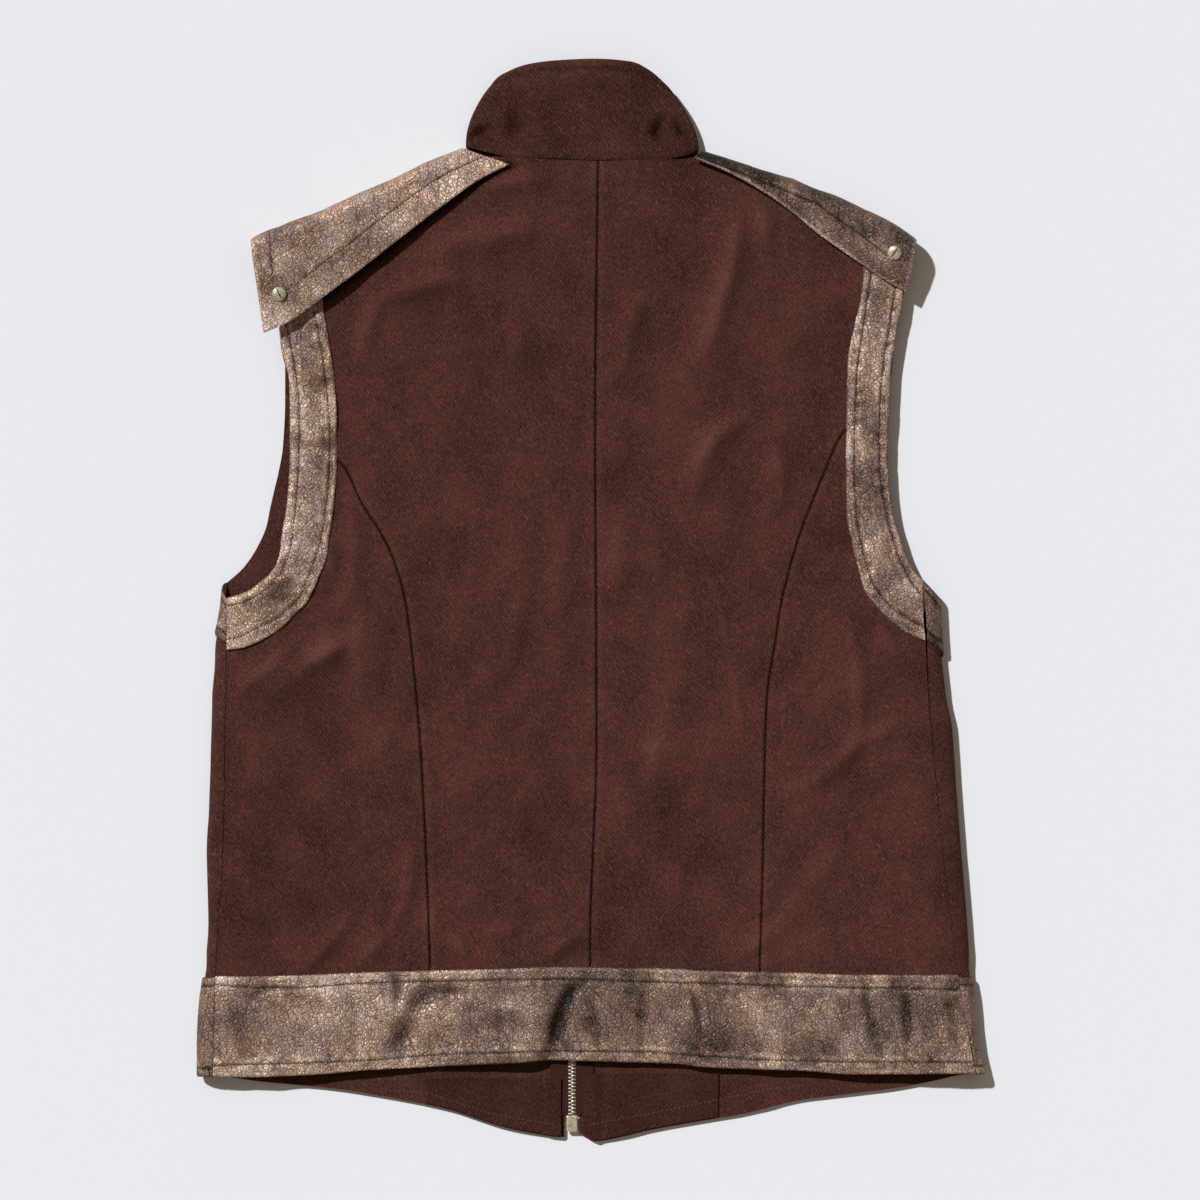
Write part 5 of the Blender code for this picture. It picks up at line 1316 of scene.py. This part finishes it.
def make_flap(side):
    """Leather shoulder flap with its stitches."""
    outer = flap_sections(side)
    inner = outer - FLAP * facing(outer, outer * (1, 1, 0) + (0, 0, 10))
    if side == "left":
        from_stud = np.hypot(outer[..., 0] - STUD_AT[side][0], outer[..., 1] - STUD_AT[side][1])
        free = np.linalg.norm(outer - outer[:, :1], axis=2)
        lift = 2.2 * bell(free, 12) * step(8, 30, from_stud) * step(8, 10, outer[..., 2])
        outer[..., 2] += lift
        inner[..., 2] += lift
    x, y, z = outer[..., 0], outer[..., 1], outer[..., 2]
    ends = run_along(outer[:, 12])
    edge = np.minimum(distance_across(outer), (ends[-1] - ends)[:, None])
    rows = [f"flap_{side}_long", f"flap_{side}_end"]
    away = np.min([nearest(STITCH_LINES[row], x, y) for row in rows], axis=0) + 30 * (1 - step(8, 12, z))
    groove = bell(away, 0.6)
    ripples = noise(x, y + z, 4.6, 71) * bell(away, 3.8, 2)
    soft = 0.70 * noise(x, y + z, 21, 72) + 0.28 * noise(x, y + z, 8.0, 73) + 0.05 * noise(x, y, 2.8, 74)
    height = (z >= 4) * (soft + 0.3 * ripples) - 0.4 * groove - 0.5 * bell(edge, 0.8)
    shade = leather_shade(soft, ripples, groove, edge)
    # Left flap a lighter tone; right flap darker towards the neck, with a painted highlight along its edge
    if side == "left":
        shade = shade + 0.10
    else:
        shade_and_tone = mix(-0.36, -0.10, step(120, 165, np.abs(x)))
        shade = shade + 0.3 * bell(edge, 0.9, 0.8) + shade_and_tone
    outer = outer + facing(outer, inner) * height[..., None]
    outer[..., 2] = np.maximum(outer[..., 2], 0.0)
    flap = wall("shoulder_flap_" + side, outer, inner, "leather", shade=shade)
    return flap, [sew_on(row, [flap]) for row in rows]


def make_facing(side, far_x, top_y):
    """Hem facing inside the front, with a loose upper edge."""
    tape_edge = TAPE_OUTER + 1.5
    far = abs(far_x - ZIP_X)
    across = mix(FACING_EDGE, far, spaced(FACING_EDGE, far, 1.8))
    over_tape = 1 - step(tape_edge, tape_edge + 4, across)
    x = ZIP_X + SIGN[side] * across
    share = np.linspace(0, 1, 26)[:, None]
    y = mix(HEM + front_hem_shift(x, HEM) + 1.0, top_y, share)
    lift = front_detail(x, y) + 0.9 * share ** 3 * (0.5 + 0.5 * noise(x, y, 13, 81))
    lower = grid_of(x, y, BAND_STEP + TWILL + SEAM + (TAPE + SEAM) * over_tape + lift)
    return wall("hem_facing_" + side, lower + (0, 0, FACING), lower, "inside")


ZIP_TOP = 308.5
TOOTH_PITCH = 2.54
# A tooth from its root to its tip: distance out, and half its width and height
TOOTH = table(
    "out half thick",
    (0, 0.46, 1.15), (1.25, 0.46, 1.3), (1.7, 0.60, 1.3), (2.55, 0.60, 1.2), (2.95, 0.34, 0.8))


def make_teeth():
    """The two rows of teeth of the closed zip, as one mesh."""
    points, faces = [], []
    for side, sign in SIGN.items():
        offset = 0.0 if side == "left" else TOOTH_PITCH / 2
        for y in np.arange(ZIP_BOTTOM + 0.9 + offset, ZIP_TOP - 0.6, TOOTH_PITCH):
            z = float(zip_tape_height(y)) + TAPE / 2
            base = len(points)
            for out, half, thick in rows_of(TOOTH):
                x = ZIP_X + sign * (CHAIN_HALF - out)
                cut = half * 0.35
                corner = ((half, thick - cut), (half - cut, thick))
                ring = [*corner, *((-dy, dz) for dy, dz in corner[::-1])]
                ring += [(-dy, -dz) for dy, dz in ring]
                points += [(x, y + dy, z + dz) for dy, dz in ring]
            rings = len(TOOTH["out"])
            for ring in range(rings - 1):
                for k in range(8):
                    a, b = base + ring * 8 + k, base + ring * 8 + (k + 1) % 8
                    quad = (a, b, b + 8, a + 8)
                    faces.append(quad if sign < 0 else quad[::-1])
            for ring, turn in ((0, 1), (rings - 1, -1)):
                start = base + ring * 8
                for quad in ((0, 7, 6, 1), (1, 6, 5, 2), (2, 5, 4, 3)):
                    quad = tuple(start + k for k in quad)
                    faces.append(quad if sign * turn < 0 else quad[::-1])
    teeth = make_piece("zip_teeth", np.array(points), np.array(faces), "brass")
    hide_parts("zip_chain")


def make_tape(side):
    """Woven tape of the zip, with the cord that its teeth grip."""
    y = mix(ZIP_BOTTOM, ZIP_TOP, spaced(ZIP_BOTTOM, ZIP_TOP, 3.0))[:, None]
    across = mix(TAPE_INNER, TAPE_OUTER, np.linspace(0, 1, 14))
    x = ZIP_X + SIGN[side] * across
    z = zip_tape_height(y)
    cord = 0.10 * bell(across - TAPE_INNER, 0.7, 0.8)
    return wall("zip_tape_" + side, grid_of(x, y, z + TAPE + cord), grid_of(x, y, z - cord), "tape")


def paint_slot_shade(side):
    """Painted shade: a dark strip on the floor of a stud's slot, where rays from above land lowest."""
    tree = BVHTree.FromObject(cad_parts["stud_" + side], bpy.context.evaluated_depsgraph_get())
    x, y = STUD_AT[side]

    def below(along, turn):
        spot = Vector(((x + along * math.cos(turn)) * MM, (y + along * math.sin(turn)) * MM, 0.2))
        return tree.ray_cast(spot, Vector((0, 0, -1)))

    turns = np.radians(np.arange(0, 180, 4))
    turn = min(turns, key=lambda angle: below(3.0, angle)[0].z + below(-3.0, angle)[0].z)
    hits = [below(along, turn) for along in np.linspace(-4.1, 4.1, 9)]
    floor_line = [[value / MM for value in hit[0]] for hit in hits]
    normals = [list(hits[4][1])] * len(hits)
    sew("stud_slot_shade_" + side, floor_line, normals, "brass", pitch=20, length=8.2, width=0.42)


def build():
    """All the pieces."""
    fronts = {}
    for side in ("left", "right"):
        fronts[side] = make_front(side)
        band, threads = make_front_hem_band(side)
        band, threads = make_front_armhole_band(side)
        for name, rows in (("back_side", side_rows(side)), ("back_centre", centre_rows(side))):
            make_back_panel(side, name, rows)
        band, threads = make_back_armhole_band(side)
        flap, threads = make_flap(side)
        make_tape(side)
    band, threads = make_back_hem_band()
    collar, threads = make_collar()
    for side, far_x, top_y in (("left", -115.0, -334.5), ("right", 89.0, -331.5)):
        made = make_facing(side, far_x, top_y)
        thread = sew_on("front_hem_inside_" + side, [made, fronts[side]], slot="twill", look="pale_thread",
                        pitch=3.0, length=1.6, width=0.2)
    make_teeth()
    for side in ("left", "right"):
        paint_slot_shade(side)
    for name in ("zip_box", "zip_slider", "zip_pull", "stud_left", "stud_right"):
        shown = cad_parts[name]
        shown.data.materials.clear()
        shown.data.materials.append(LOOK["brass"])


build()
